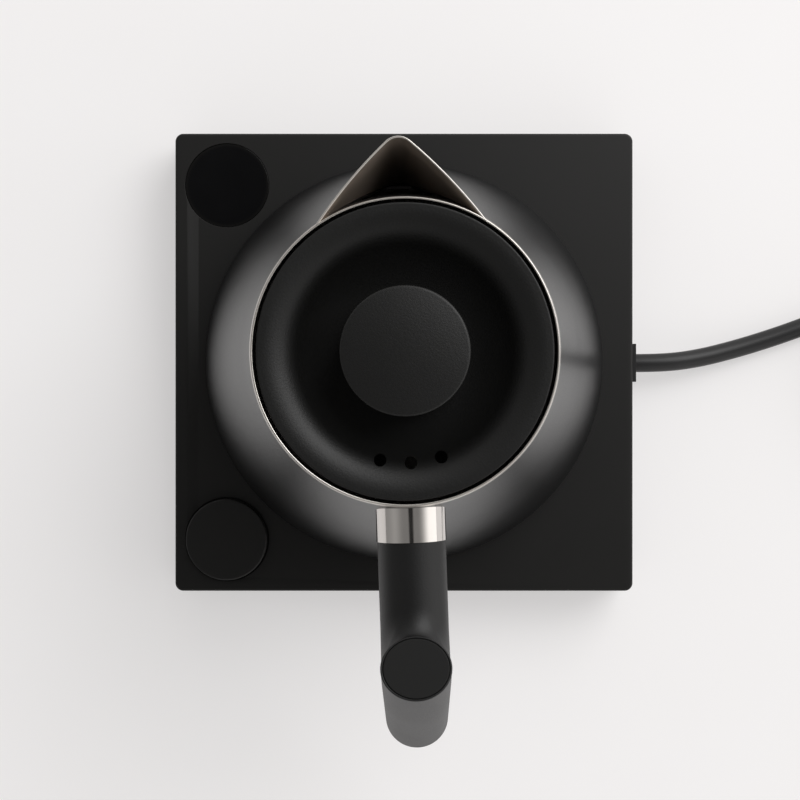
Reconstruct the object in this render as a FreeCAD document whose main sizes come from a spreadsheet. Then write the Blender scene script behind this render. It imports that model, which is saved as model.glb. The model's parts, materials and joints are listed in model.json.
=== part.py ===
import FreeCAD, Part
import math
import os
import re

import Sketcher
from FreeCAD import Placement, Rotation, Vector

# Electric kettle: a tapered steel jug with a beak spout, standing on a square power base.
# Frame: origin under the middle of the base at the table, +X to the cord side, +Y to the spout,
# +Z up. The jug and the lid have heights above the base's top, and are raised onto it.

doc = FreeCAD.newDocument("electric_kettle")

# ---------------------------------------------------------------- driving dimensions

SIZES = {
    # base
    "base_side": (172, "width and depth of the base"),
    "base_height": (25, "table to the base's top"),
    "base_corner": (3, "plan radius of the base's corners"),
    "base_edge": (0.8, "round of the base's upper edge"),
    "base_wall": (2.4, "side wall of the base"),
    "base_top": (2.6, "top wall of the base"),
    "skirt_gap": (2.6, "table to the lower edge of the base's side wall"),
    "floor_plate": (2, "thickness of the base's floor"),
    "foot_radius": (8, "rubber foot"),
    "foot_height": (1.8, "rubber foot"),
    "foot_inset": (26, "side of the base to the middle of a foot"),
    "screw_inset": (12, "front and back of the base to a floor screw"),
    "screw_across": (43, "middle of the base to a floor screw, across"),
    "screw_radius": (1.5, "shank of the small screws"),
    "screw_head": (2.8, "head radius of the small screws"),
    "screw_sink": (1.2, "head height of the small screws"),
    "boss_radius": (4.5, "screw boss"),
    "fit": (0.3, "gap between pieces that move past each other or are put together"),
    "slip": (0.05, "running fit on the radius"),
    # controls on the base
    "control_inset": (19.5, "side of the base to the middle of the display and of the dial"),
    "display_radius": (15.75, "display window"),
    "display_depth": (1.3, "thickness of the display window"),
    "display_sink": (0.3, "display window below the base's top"),
    "ledge": (1.4, "ledge under the display window's edge"),
    "dial_radius": (15.2, "dial"),
    "dial_proud": (3.4, "dial above the base's top"),
    "dial_sink": (1, "depth of the dial's round recess"),
    "dial_press": (0.6, "travel of the dial when pressed"),
    "dial_wall": (2, "wall of the dial"),
    "shaft_radius": (3, "dial shaft"),
    "board_drop": (9, "base's inner ceiling down to the control board"),
    "board_wide": (30, "control board"),
    "power_across": (16, "middle of the base to the middle of the power board"),
    "power_long": (72, "power board"),
    "power_deep": (52, "power board"),
    "power_post": (4, "posts under the power board"),
    "board_thick": (1.6, "circuit boards"),
    "encoder_side": (12.5, "encoder under the dial"),
    "encoder_height": (6.5, "encoder under the dial"),
    "rotor_radius": (4.8, "turning ring in the encoder"),
    "rotor_height": (3, "turning ring in the encoder"),
    "slider_span": (63.6, "middle of the base to each slide switch"),
    "slider_long": (5.1, "knob of a slide switch"),
    "slider_tall": (3, "knob of a slide switch"),
    "slider_proud": (1, "knob of a slide switch outside the wall"),
    "slider_travel": (2, "travel of a slide switch"),
    "slider_height": (12, "table to a slide switch"),
    "switch_deep": (6, "slide switch housing"),
    # connector between base and jug
    "tower_radius": (15, "round connector on the base"),
    "tower_height": (11, "connector above the base's top"),
    "tower_flange": (21, "connector flange under the base's top"),
    "flange_thick": (2.5, "connector flanges"),
    "bore_radius": (3.4, "hole in the connector"),
    "groove_radius": (9.5, "ring groove in the connector"),
    "groove_wide": (2.4, "ring groove in the connector"),
    "groove_deep": (8, "ring groove in the connector"),
    "pin_radius": (2, "live pin of the jug"),
    "strip": (0.5, "thickness of contact strip"),
    "socket_wall": (3.2, "wall of the jug's socket"),
    # jug
    "jug_gap": (0.3, "jug above the base's top"),
    "jug_turn": (2, "how far the jug is turned on the base, in degrees"),
    "body_radius": (74, "jug at its shoulder"),
    "body_corner": (4.8, "round of the jug's lower corner"),
    "body_lip": (0.8, "lower edge of the jug's wall above the base's top"),
    "body_return": (3.2, "inward fold of the jug's lower edge"),
    "rim_radius": (45.3, "outside of the rim"),
    "rim_height": (150, "rim above the base's top"),
    "rim_band": (2.8, "height of the bare rim"),
    "wall": (0.8, "sheet of the jug, the spout and the lid's pan"),
    "cover_thick": (3.5, "bottom cover"),
    "plate_height": (18, "underside of the heater plate above the base's top"),
    "plate_thick": (3.5, "heater plate"),
    "element_radius": (40, "heating element ring"),
    "element_tube": (3.4, "heating element tube"),
    "post_radius": (3.2, "post under the heater plate"),
    "post_inset": (8.7, "edge of the bottom cover to the circle of the posts"),
    "probe_radius": (2.5, "temperature probe"),
    "probe_rise": (14, "temperature probe above the heater plate"),
    "probe_place": (24, "axis to the temperature probe"),
    "grommet": (1.6, "wall of the probe's seal"),
    # spout
    "beak_reach": (63.2, "axis to the spout's tip at the rim"),
    "beak_spread": (42.5, "half angle of the spout at the rim, in degrees"),
    "beak_round": (5.4, "tip radius of the spout"),
    "beak_drop": (53, "rim down to the spout's lower end"),
    "beak_foot_reach": (54, "axis to the spout's keel at its lower end"),
    "beak_foot_spread": (26, "half angle of the spout at its lower end, in degrees"),
    "pour_drop": (8, "rim down to the upper edge of the pouring hole"),
    "pour_tall": (30, "pouring hole"),
    # handle
    "collar_radius": (10.5, "steel collar"),
    "arm_radius": (10.3, "arm between collar and grip"),
    "arm_drop": (14.5, "rim down to the axis of the collar and of the arm"),
    "collar_reach": (56.4, "axis of the jug to the collar's outer face"),
    "stud_radius": (5, "stud in the arm"),
    "stud_long": (22, "stud in the arm"),
    "grip_radius": (10.5, "handle"),
    "grip_rake": (18, "lean of the grip, in degrees"),
    "grip_foot_reach": (121.3, "axis of the jug to the grip's lower end"),
    "grip_drop": (82, "rim down to the grip's lower end, on its axis"),
    "grip_long": (91.5, "grip along its axis"),
    "grip_bore": (6.5, "hollow of the grip"),
    "thumb_radius": (9.8, "thumb disc"),
    "thumb_thick": (2, "thumb disc"),
    "cap_thick": (2.2, "end cap of the grip"),
    "cap_plug": (6, "plug of the end cap"),
    # lid
    "lid_turn": (3, "how far the lid is turned, in degrees"),
    "lid_radius": (43.9, "lid"),
    "lid_edge": (2.4, "height of the lid's edge"),
    "lid_shell": (2.2, "shell of the lid"),
    "lip_flat": (2.7, "level lip of the lid"),
    "lip_bend": (10, "radius of the bend from the lip down into the dish"),
    "dish_slope": (52, "steepest slope of the dish, in degrees"),
    "dish_depth": (14, "rim down to the lid's dish"),
    "knob_radius": (19, "lid knob"),
    "knob_height": (23, "lid knob"),
    "knob_edge": (0.9, "round of the knob's upper edge"),
    "vent_radius": (1.85, "steam hole"),
    "vent_circle": (32.8, "circle of the steam holes"),
    "vent_step": (16, "between steam holes, in degrees"),
    "pan_radius": (41.6, "inner pan of the lid"),
    "pan_drop": (1.2, "lid's edge down to the pan's upper edge"),
    "pan_depth": (18.5, "rim down to the underside of the lid's pan"),
    "seal_thick": (1.5, "lid seal"),
    "seal_height": (4, "lid seal"),
    # cord
    "cord_radius": (3.5, "power cord"),
    "cord_height": (9.5, "table to the cord at the base"),
    "gland_wide": (14.5, "strain relief outside the base"),
    "gland_tall": (11, "strain relief outside the base"),
    "gland_proud": (2.6, "strain relief outside the base"),
    "gland_long": (24, "strain relief, whole"),
    "clamp_wide": (7, "bar that holds the cord down inside the base"),
    "clamp_post": (2.8, "posts under the clamp"),
    "coil_across": (208, "middle of the base to the middle of the coil"),
    "coil_along": (12, "middle of the coil before the middle of the base"),
    "coil_inner": (34.5, "inner turn of the coil"),
    "coil_outer": (41.5, "outer turn of the coil"),
    "coil_rise": (6.1, "upper turn above the lower turns"),
    "tie_wide": (9, "tie round the coil"),
    "tie_thick": (0.8, "tie round the coil"),
    "coil_upper_turn": (110, "how far the upper turn goes round, in degrees"),
    "relief_long": (20, "strain relief at the plug"),
    "relief_radius": (6.2, "strain relief at the plug, at its thick end"),
    "plug_wide": (25, "plug"),
    "plug_long": (30, "plug"),
    "plug_tall": (18, "plug"),
    "blade_span": (12.7, "middle to middle of the plug's flat blades"),
    "blade_wide": (6.3, "flat blade"),
    "blade_thick": (1.5, "flat blade"),
    "blade_long": (17, "flat blade"),
    "blade_rise": (3, "flat blades above the middle of the plug"),
    "ground_radius": (2.4, "round pin"),
    "ground_long": (19, "round pin"),
    "ground_drop": (8, "round pin below the blades"),
}

sheet = doc.addObject("Spreadsheet::Sheet", "sizes")
for row, (name, (amount, note)) in enumerate(SIZES.items(), 1):
    sheet.set(f"A{row}", name)
    sheet.set(f"B{row}", str(amount))
    sheet.set(f"C{row}", note)
    sheet.setAlias(f"B{row}", name)
doc.recompute()

# Places and sizes that follow from the sheet. Each may use the ones above it.
DERIVED = {
    "half_base": "base_side / 2",
    "ceiling": "base_height - base_top",
    "floor_top": "foot_height + floor_plate",
    "foot_place": "half_base - foot_inset",
    "screw_place": "half_base - screw_inset",
    "control_place": "half_base - control_inset",
    "board_top": "ceiling - board_drop",
    "power_post_x": "power_long / 2 - 6",
    "power_post_y": "power_deep / 2 - 4",
    "encoder_top": "board_top + encoder_height",
    "shaft_foot": "board_top + 1.6",
    "dial_foot": "base_height - dial_sink + dial_press + fit",
    "inner_face": "half_base - base_wall",
    "socket_bore": "tower_radius + fit",
    "socket_radius": "socket_bore + socket_wall",
    "socket_roof": "tower_height + fit + 0.5",
    "cover_radius": "body_radius - body_corner - body_return - fit",
    "post_circle": "cover_radius - post_inset",
    "shoulder": "body_lip + body_corner",
    "arm_height": "rim_height - arm_drop",
    "grip_foot": "rim_height - grip_drop",
    "beak_foot": "rim_height - beak_drop",
    "pour_low": "rim_height - pour_drop - pour_tall",
    "pour_high": "rim_height - pour_drop",
    "cone_top": "rim_height - rim_band",
    "lean": "(body_radius - rim_radius) / (rim_height - shoulder)",
    "cone_radius": "rim_radius + lean * rim_band",
    "plate_low_radius": "body_radius - wall - fit - lean * (plate_height - shoulder)",
    "plate_high_radius": "plate_low_radius - lean * plate_thick",
    "plate_top": "plate_height + plate_thick",
    "dish_floor": "rim_height - dish_depth",
    "lip_radius": "lid_radius - lip_flat",
    "fold_radius": "lip_radius - lip_bend * sin(dish_slope)",
    "fold_height": "rim_height - lip_bend * (1 - cos(dish_slope))",
    "dish_sweep": "(fold_height - dish_floor) / (1 - cos(dish_slope))",
    "dish_radius": "fold_radius - dish_sweep * sin(dish_slope)",
    "pan_floor": "rim_height - pan_depth",
    "pan_top": "rim_height - lid_edge - lid_shell - pan_drop",
    "gland_foot": "half_base + gland_proud - gland_long",
    "clamp_place": "gland_foot - clamp_wide / 2 - 1",
    "clamp_span": "cord_radius + clamp_post + fit",
}
derived = doc.addObject("App::VarSet", "derived")


def bind(text):
    """The expression with each name led back to the sheet or to the derived values."""
    def lead(word):
        if word[0] in SIZES:
            return f"sizes.{word[0]}"
        return f"derived.{word[0]}" if word[0] in DERIVED else word[0]
    return re.sub(r"[a-z_]+", lead, str(text))


for name, text in DERIVED.items():
    derived.addProperty("App::PropertyFloat", name)
    derived.setExpression(name, bind(text))
derived.addProperty("App::PropertyFloat", "reading")
doc.recompute()


def number(text):
    """What an expression comes to now."""
    derived.setExpression("reading", bind(text))
    derived.recompute()
    return derived.reading


# ---------------------------------------------------------------- ways to make a piece

TURN = {
    "z": Rotation(),
    "x": Rotation(Vector(0, 1, 0), 90),
    "-x": Rotation(Vector(0, 1, 0), -90),
    "-y": Rotation(Vector(1, 0, 0), 90),
}


def put(thing, at):
    for axis, text in zip("xyz", at):
        thing.setExpression(f"Placement.Base.{axis}", bind(text))
    return thing


def rod(radius, height, at=(0, 0, 0), along="z"):
    """A round bar that starts at a point and runs along an axis."""
    thing = doc.addObject("Part::Cylinder", "rod")
    thing.setExpression("Radius", bind(radius))
    thing.setExpression("Height", bind(height))
    thing.Placement = Placement(Vector(), TURN[along])
    return put(thing, at)


def slab(size, at):
    """A box: at is the middle of its underside."""
    thing = doc.addObject("Part::Box", "slab")
    for side, text in zip(("Length", "Width", "Height"), size):
        thing.setExpression(side, bind(text))
    corner = (f"{at[0]} - ({size[0]}) / 2", f"{at[1]} - ({size[1]}) / 2", at[2])
    return put(thing, corner)


def fuse(*things):
    thing = doc.addObject("Part::MultiFuse", "fuse")
    thing.Shapes = list(things)
    return thing


def group(*things):
    """Separate solids, kept apart in one sub-part."""
    thing = doc.addObject("Part::Compound", "group")
    thing.Links = list(things)
    return thing


def cut(base, *tools):
    thing = doc.addObject("Part::Cut", "cut")
    thing.Base = base
    thing.Tool = tools[0] if len(tools) == 1 else group(*tools)
    return thing


def common(*things):
    thing = doc.addObject("Part::MultiCommon", "common")
    thing.Shapes = list(things)
    return thing


def plane_of(body, role):
    return next(o for o in body.Origin.OriginFeatures if o.Role == role)


def arc_between(start, end, radius):
    """The short arc from start to end; its centre is on the left of the way when radius > 0."""
    chord = end - start
    reach = math.sqrt(max(radius * radius - chord.Length ** 2 / 4, 0))
    left = Vector(-chord.y, chord.x, 0).normalize()
    centre = (start + end) / 2 + left * math.copysign(reach, radius)
    first, last = (start, end) if radius > 0 else (end, start)
    angles = [math.atan2(p.y - centre.y, p.x - centre.x) for p in (first, last)]
    circle = Part.Circle(centre, Vector(0, 0, 1), abs(radius))
    return Part.ArcOfCircle(circle, *angles)


def outline(body, role, points):
    """A closed sketch through the points, every one tied to the sheet. A point with a third
    value is reached by an arc of that radius instead of a straight line."""
    sketch = body.newObject("Sketcher::SketchObject", "outline")
    sketch.AttachmentSupport = [(plane_of(body, role), "")]
    sketch.MapMode = "FlatFace"
    places = [Vector(number(p[0]), number(p[1]), 0) for p in points]
    starts, ends = [], []
    for i, point in enumerate(points):
        start, end = places[i - 1], places[i]
        if len(point) == 3:
            radius = number(point[2])
            edge = sketch.addGeometry(arc_between(start, end, radius))
            starts.append((edge, 1 if radius > 0 else 2))
            ends.append((edge, 2 if radius > 0 else 1))
            size = sketch.addConstraint(Sketcher.Constraint("Radius", edge, abs(radius)))
            sketch.setExpression(f"Constraints[{size}]", bind(f"abs({point[2]})"))
        else:
            edge = sketch.addGeometry(Part.LineSegment(start, end))
            starts.append((edge, 1))
            ends.append((edge, 2))
    for i, point in enumerate(points):
        after = starts[(i + 1) % len(points)]
        sketch.addConstraint(Sketcher.Constraint("Coincident", *ends[i], *after))
        for kind, axis, text, now in zip(
            ("DistanceX", "DistanceY"), (-2, -1), point, (places[i].x, places[i].y)
        ):
            if str(text) == "0":
                sketch.addConstraint(Sketcher.Constraint("PointOnObject", *ends[i], axis))
                continue
            tie = sketch.addConstraint(Sketcher.Constraint(kind, -1, 1, *ends[i], now))
            sketch.setExpression(f"Constraints[{tie}]", bind(text))
    return sketch


def turned(*points):
    """A body of revolution about Z through (radius, height) points."""
    body = doc.addObject("PartDesign::Body", "turned")
    sketch = outline(body, "XZ_Plane", points)
    feature = body.newObject("PartDesign::Revolution", "revolution")
    feature.Profile = sketch
    feature.ReferenceAxis = (sketch, ["V_Axis"])
    feature.Angle = 360
    return body


def ring(inner, outer, low, high):
    """A plain ring about Z."""
    return turned((inner, low), (outer, low), (outer, high), (inner, high))


def block(wide, deep, low, high, corner=None, edge=None):
    """A box about Z, its upright edges rounded by corner and its top edges by edge."""
    body = doc.addObject("PartDesign::Body", "block")
    x, y = f"({wide}) / 2", f"({deep}) / 2"
    signs = (("-", "-"), ("", "-"), ("", ""), ("-", ""))
    sketch = outline(body, "XY_Plane", [(sx + x, sy + y) for sx, sy in signs])
    sketch.setExpression("AttachmentOffset.Base.z", bind(low))
    pad = body.newObject("PartDesign::Pad", "pad")
    pad.Profile = sketch
    pad.setExpression("Length", bind(f"{high} - ({low})"))
    doc.recompute()
    top = number(high)
    for radius, upright in ((corner, True), (edge, False)):
        if radius is None:
            continue
        names = []
        for i, e in enumerate(body.Shape.Edges, 1):
            heights = [v.Z for v in e.Vertexes]
            stands = max(heights) - min(heights) > 1e-6
            at_top = min(heights) > top - 1e-6
            if stands if upright else at_top:
                names.append(f"Edge{i}")
        before = body.Tip
        fillet = body.newObject("PartDesign::Fillet", "fillet")
        fillet.Base = (before, names)
        fillet.setExpression("Radius", bind(radius))
        doc.recompute()
    return body


subparts = []


def keep(label, thing, raised="0", turn="0"):
    """Names a finished sub-part and sets it in the shared frame."""
    if thing.TypeId in ("Part::Cylinder", "Part::Box"):
        thing = group(thing)
    thing.Label = label
    thing.setExpression("Placement.Base.z", bind(raised))
    thing.setExpression("Placement.Rotation.Angle", bind(turn))
    subparts.append(thing)
    return thing


def keep_jug(label, thing):
    return keep(label, thing, "base_height", "jug_turn")


def keep_lid(label, thing):
    return keep(label, thing, "base_height", "lid_turn")


def screw(at, length, up=True, head="screw_head", shank="screw_radius", sink="screw_sink"):
    """A screw whose head starts at a point and whose shank goes up, or down, from the head."""
    x, y, z = at
    if up:
        return fuse(rod(head, sink, at), rod(shank, f"{sink} + {length}", at))
    low = f"{z} - ({sink})"
    foot = f"{z} - ({sink}) - ({length})"
    return fuse(rod(head, sink, (x, y, low)), rod(shank, f"{sink} + {length}", (x, y, foot)))


CORNERS = [(sx, sy) for sx in ("-", "") for sy in ("-", "")]


# ---------------------------------------------------------------- base: casing

cover_side = "base_side - 2 * base_wall"
cover = cut(
    block("base_side", "base_side", "skirt_gap", "base_height", "base_corner", "base_edge"),
    slab((cover_side, cover_side, "ceiling"), (0, 0, 0)),
)
bosses = [
    rod("boss_radius", "ceiling - floor_top", (f"{sx}screw_across", f"{sy}screw_place", "floor_top"))
    for sx, sy in CORNERS
]
board_posts = [
    rod("boss_radius", "board_drop", ("-control_place", f"{side}board_wide", "board_top"))
    for side in ("-", "")
]
holes = [
    rod("screw_radius + slip", "ceiling - floor_top - 4",
        (f"{sx}screw_across", f"{sy}screw_place", "floor_top"))
    for sx, sy in CORNERS
]
holes += [
    rod("screw_radius + slip", "board_drop - 1.5",
        ("-control_place", f"{side}board_wide", "board_top"))
    for side in ("-", "")
]
holes += [
    rod("display_radius + slip", "base_top", ("-control_place", "control_place",
        "base_height - display_sink - display_depth")),
    rod("display_radius - ledge", "2 * base_top", ("-control_place", "control_place",
        "ceiling - 1")),
    rod("dial_radius + 0.5", "base_top", ("-control_place", "-control_place",
        "base_height - dial_sink")),
    rod("shaft_radius + fit", "2 * base_top", ("-control_place", "-control_place",
        "ceiling - 1")),
    rod("tower_radius + slip", "2 * base_top", (0, 0, "ceiling - 1")),
    slab(("4 * base_wall", "gland_wide - 3", "gland_tall - 3"),
         ("half_base", 0, "cord_height - (gland_tall - 3) / 2")),
]
holes += [
    slab(("4 * base_wall", "slider_long + slider_travel + 2 * fit", "slider_tall + 2 * fit"),
         ("half_base", f"{side}slider_span + slider_travel / 2",
          "slider_height - slider_tall / 2 - fit"))
    for side in ("-", "")
]
keep("base_cover", cut(fuse(cover, *bosses, *board_posts), *holes))

plate_side = "base_side - 2 * base_wall - 2 * fit"
power_spots = [
    (f"power_across {sx} power_post_x", f"{sy}power_post_y") for sx in "-+" for sy in ("-", "")
]
standoffs = [rod(3, "power_post", (*spot, "floor_top")) for spot in power_spots]
standoffs += [
    rod("clamp_post", "cord_height + cord_radius - floor_top",
        ("clamp_place", f"{side}clamp_span", "floor_top"))
    for side in ("-", "")
]
keep("base_floor", cut(
    fuse(block(plate_side, plate_side, "foot_height", "floor_top", "base_corner"), *standoffs),
    *[rod("screw_radius + fit", 10, (f"{sx}screw_across", f"{sy}screw_place", 0))
      for sx, sy in CORNERS],
    *[rod("screw_head + fit", "foot_height + screw_sink",
          (f"{sx}screw_across", f"{sy}screw_place", 0)) for sx, sy in CORNERS],
    *[rod("screw_radius + slip", 3, (*spot, "floor_top + 1")) for spot in power_spots],
))
keep("base_feet", group(*[
    rod("foot_radius", "foot_height", (f"{sx}foot_place", f"{sy}foot_place", 0))
    for sx, sy in CORNERS
]))
keep("base_screws", group(*[
    screw((f"{sx}screw_across", f"{sy}screw_place", "foot_height"), 9) for sx, sy in CORNERS
]))

# ---------------------------------------------------------------- base: connector

tower_top = "base_height + tower_height"
contact_low = f"{tower_top} - groove_deep"
bore_low = f"{tower_top} - 12"
keep("base_connector", cut(
    turned(
        ("0", "ceiling - flange_thick"),
        ("tower_flange", "ceiling - flange_thick"),
        ("tower_flange", "ceiling"),
        ("tower_radius", "ceiling"),
        ("tower_radius", f"{tower_top} - 1"),
        ("tower_radius - 1", tower_top, 1),
        ("0", tower_top),
    ),
    rod("bore_radius", 20, (0, 0, bore_low)),
    ring("groove_radius", "groove_radius + groove_wide", contact_low, f"{tower_top} + 1"),
))
keep("base_contacts", group(
    ring("groove_radius + groove_wide - strip", "groove_radius + groove_wide - 0.02",
         contact_low, f"{contact_low} + 5"),
    ring("bore_radius - strip", "bore_radius - 0.02", bore_low, f"{bore_low} + 7"),
))

# ---------------------------------------------------------------- base: display, dial, boards

dial_spot = ("-control_place", "-control_place")
display_spot = ("-control_place", "control_place")
keep("display_window", rod("display_radius", "display_depth",
                           (*display_spot, "base_height - display_sink - display_depth")))
keep("display_module", slab(
    ("board_wide - 6", "board_wide - 6", "board_drop - fit"), (*display_spot, "board_top")))
keep("control_board", cut(
    slab(("board_wide", "2 * control_place + board_wide", "board_thick"),
         ("-control_place", 0, "board_top - board_thick")),
    *[rod("screw_radius + slip", 5, ("-control_place", f"{side}board_wide", "board_top - 3"))
      for side in ("-", "")],
))
board_screws = [
    screw(("-control_place", f"{side}board_wide", "board_top - board_thick - screw_sink"),
          "board_thick + 4")
    for side in ("-", "")
]
cavity_low = "encoder_top - 1 - rotor_height - 2 * fit"
keep("encoder_body", cut(
    slab(("encoder_side", "encoder_side", "encoder_height"), (*dial_spot, "board_top")),
    rod("rotor_radius + slip", "rotor_height + 2 * fit", (*dial_spot, cavity_low)),
    rod("shaft_radius + fit", "encoder_height", (*dial_spot, "board_top + 0.8")),
))
keep("encoder_rotor", cut(
    rod("rotor_radius", "rotor_height", (*dial_spot, f"{cavity_low} + fit")),
    rod("shaft_radius + slip", "2 * rotor_height", (*dial_spot, "board_top")),
))
keep("encoder_dome", rod("shaft_radius - 0.4", 0.15, (*dial_spot, "board_top + 0.8")))
shaft_top = "base_height + dial_proud - dial_wall"
keep("dial_shaft", rod("shaft_radius", f"{shaft_top} - shaft_foot - slip",
                       (*dial_spot, "shaft_foot")))
dial_top = "base_height + dial_proud"
dial_form = turned(
    ("0", "dial_foot"),
    ("dial_radius", "dial_foot"),
    ("dial_radius", f"{dial_top} - 0.6"),
    ("dial_radius - 0.6", dial_top, 0.6),
    ("0", dial_top),
)
dial_hollow = ring("shaft_radius + 2.5", "dial_radius - dial_wall",
                   "dial_foot - 1", f"{dial_top} - dial_wall")
dial_bore = rod("shaft_radius + slip", f"{dial_top} - dial_wall", (0, 0, 0))
dial = group(cut(dial_form, dial_hollow, dial_bore))
put(dial, (*dial_spot, "0"))
keep("control_dial", group(dial))

power_low = "floor_top + power_post"
power_top = f"{power_low} + board_thick"
keep("power_board", cut(
    slab(("power_long", "power_deep", "board_thick"), ("power_across", 0, power_low)),
    *[rod("screw_radius + slip", 20, (*spot, 0)) for spot in power_spots],
))
board_screws += [
    screw((*spot, f"{power_top} + screw_sink"), "board_thick + 2", up=False)
    for spot in power_spots
]
keep("power_relay", slab((19, 15, 7.5), ("power_across + 9", -8, power_top)))
keep("transformer", fuse(
    slab((18, 16, 5), ("power_across + 22", 11, power_top)),
    slab((14, 12, 7.5), ("power_across + 22", 11, power_top)),
))
keep("smoothing_capacitor", rod(4, 11, ("power_across + 2", 20, f"{power_top} + 4"), "x"))
keep("cord_terminal", slab((9, 10, 6), ("power_across + 28", -11, power_top)))
keep("board_link", slab((9, 18, 5), ("power_across - 28", 0, power_top)))

for name, side in (("hold", "-"), ("unit", "")):
    spot = f"{side}slider_span"
    middle = f"{spot} + slider_travel / 2"
    housing = slab(
        ("switch_deep", "slider_long + slider_travel + 5", "slider_tall + 4"),
        ("inner_face - switch_deep / 2", middle, "slider_height - slider_tall / 2 - 2"))
    slot = slab(
        ("switch_deep - 1.5", "slider_long + slider_travel + 2 * fit", "slider_tall + 2 * fit"),
        ("inner_face - (switch_deep - 1.5) / 2", middle, "slider_height - slider_tall / 2 - fit"))
    keep(f"{name}_switch", cut(housing, slot))
    stem = "switch_deep - 1.5 - fit + base_wall + slider_proud"
    knob = block(stem, "slider_long", "slider_height - slider_tall / 2",
                 "slider_height + slider_tall / 2", 0.4)
    put(knob, (f"half_base + slider_proud - ({stem}) / 2", spot, 0))
    keep(f"{name}_slider", group(knob))

# ---------------------------------------------------------------- jug: shell and rim

jug_form = turned(
    ("0", "body_lip"),
    ("body_radius - body_corner", "body_lip"),
    ("body_radius", "shoulder", "body_corner"),
    ("cone_radius", "cone_top"),
    ("rim_radius", "rim_height"),
    ("0", "rim_height"),
)


def beak_wire(share, inset):
    """One level outline of the spout: two straight sides and a round tip, inset from the
    outside. Share goes from 0 at the spout's lower end to 1 at the rim."""
    reach = (1 - share) * number("beak_foot_reach") + share * number("beak_reach")
    spread = math.radians(
        (1 - share) * number("beak_foot_spread") + share * number("beak_spread"))
    level = (1 - share) * number("beak_foot") + share * number("rim_height")
    bend = number("beak_round")
    centre = Vector(0, reach - bend, level)
    back = number("beak_foot_reach") / 2
    side = Vector(math.cos(spread), math.sin(spread), 0) * (bend - inset)
    run = (centre.y + side.y - back) / math.cos(spread)
    right = centre + side
    far = right + Vector(math.sin(spread), -math.cos(spread), 0) * run
    mirror = [Vector(-p.x, p.y, p.z) for p in (right, far)]
    tip = centre + Vector(0, bend - inset, 0)
    return Part.Wire([
        Part.LineSegment(far, right).toShape(),
        Part.Arc(right, tip, mirror[0]).toShape(),
        Part.LineSegment(*mirror).toShape(),
        Part.LineSegment(mirror[1], far).toShape(),
    ])


def beak(name, inset, top_share):
    thing = doc.addObject("Part::Feature", name)
    thing.Shape = Part.makeLoft([beak_wire(0, inset), beak_wire(top_share, inset)], True, True)
    return thing


beak_outside = beak("beak_outside", 0, 1)
beak_inside = beak("beak_inside", number("wall"), 1.05)
pour_hole = common(
    beak_inside,
    slab(("beak_reach * 2", "beak_reach * 2", "pour_high - pour_low"), (0, "beak_reach", "pour_low")),
)
vessel = turned(
    ("body_radius - body_corner - body_return", "body_lip"),
    ("body_radius - body_corner", "body_lip"),
    ("body_radius", "shoulder", "body_corner"),
    ("cone_radius", "cone_top"),
    ("cone_radius - wall", "cone_top"),
    ("body_radius - wall", "shoulder"),
    ("body_radius - body_corner", "body_lip + wall", "-(body_corner - wall)"),
    ("body_radius - body_corner - body_return", "body_lip + wall"),
)
keep_jug("vessel", cut(vessel, pour_hole))
keep_jug("rim_ring", turned(
    ("cone_radius - wall", "cone_top"),
    ("cone_radius", "cone_top"),
    ("rim_radius", "rim_height - 0.4"),
    ("rim_radius - 0.4", "rim_height", 0.4),
    ("rim_radius - wall - 0.1", "rim_height"),
))
keep_jug("spout", cut(beak_outside, beak_inside, jug_form))

# ---------------------------------------------------------------- jug: floor and heating

keep_jug("heater_plate", cut(
    turned(("0", "plate_height"), ("plate_low_radius", "plate_height"),
           ("plate_high_radius", "plate_top"), ("0", "plate_top")),
    rod("probe_radius + grommet + slip", 20, ("-probe_place", 0, "plate_height - 5")),
))
element = doc.addObject("Part::Torus", "element")
element.setExpression("Radius1", bind("element_radius"))
element.setExpression("Radius2", bind("element_tube"))
element.Angle3 = 310
put(element, (0, 0, "plate_height - element_tube"))
keep_jug("heating_element", group(element))
keep_jug("element_clamp", ring(
    "element_radius - element_tube - 3", "element_radius - element_tube - 0.2",
    "plate_height - 4", "plate_height"))
keep_jug("thermal_cutout", slab((12, 9, 5), (26, 0, "plate_height - 5")))
keep_jug("temperature_probe", fuse(
    rod("probe_radius", "probe_rise + plate_thick + 6", ("-probe_place", 0, "plate_height - 6")),
    rod("probe_radius + grommet + 1", 1.5, ("-probe_place", 0, "plate_height - 3.5")),
))
keep_jug("probe_seal", cut(
    fuse(rod("probe_radius + grommet", "plate_thick + 2", ("-probe_place", 0, "plate_height - 2")),
         rod("probe_radius + grommet + 1", 1.5, ("-probe_place", 0, "plate_top"))),
    rod("probe_radius + slip", 30, ("-probe_place", 0, "plate_height - 10")),
))
THIRDS = [(math.cos(math.radians(a)), math.sin(math.radians(a))) for a in (30, 150, 270)]
around = [(f"post_circle * {c:.6f}", f"post_circle * {s:.6f}") for c, s in THIRDS]
keep_jug("bottom_posts", group(*[
    cut(rod("post_radius", "plate_height - body_lip - wall - cover_thick + 1.5",
            (*spot, "body_lip + wall + cover_thick - 1.5")),
        rod("screw_radius + slip", 8, (*spot, 0)))
    for spot in around
]))
cover_low = "jug_gap"
flange_low = "body_lip + wall"
keep_jug("bottom_cover", cut(
    turned(
        ("socket_radius + fit", cover_low),
        ("cover_radius", cover_low),
        ("cover_radius", flange_low),
        ("cover_radius + body_return", flange_low),
        ("cover_radius + body_return", f"{flange_low} + cover_thick - 1.5"),
        ("socket_radius + fit", f"{flange_low} + cover_thick - 1.5"),
    ),
    *[rod("screw_head + fit", "screw_sink", (*spot, cover_low)) for spot in around],
    *[rod("screw_radius + fit", 8, (*spot, 0)) for spot in around],
))
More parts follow.
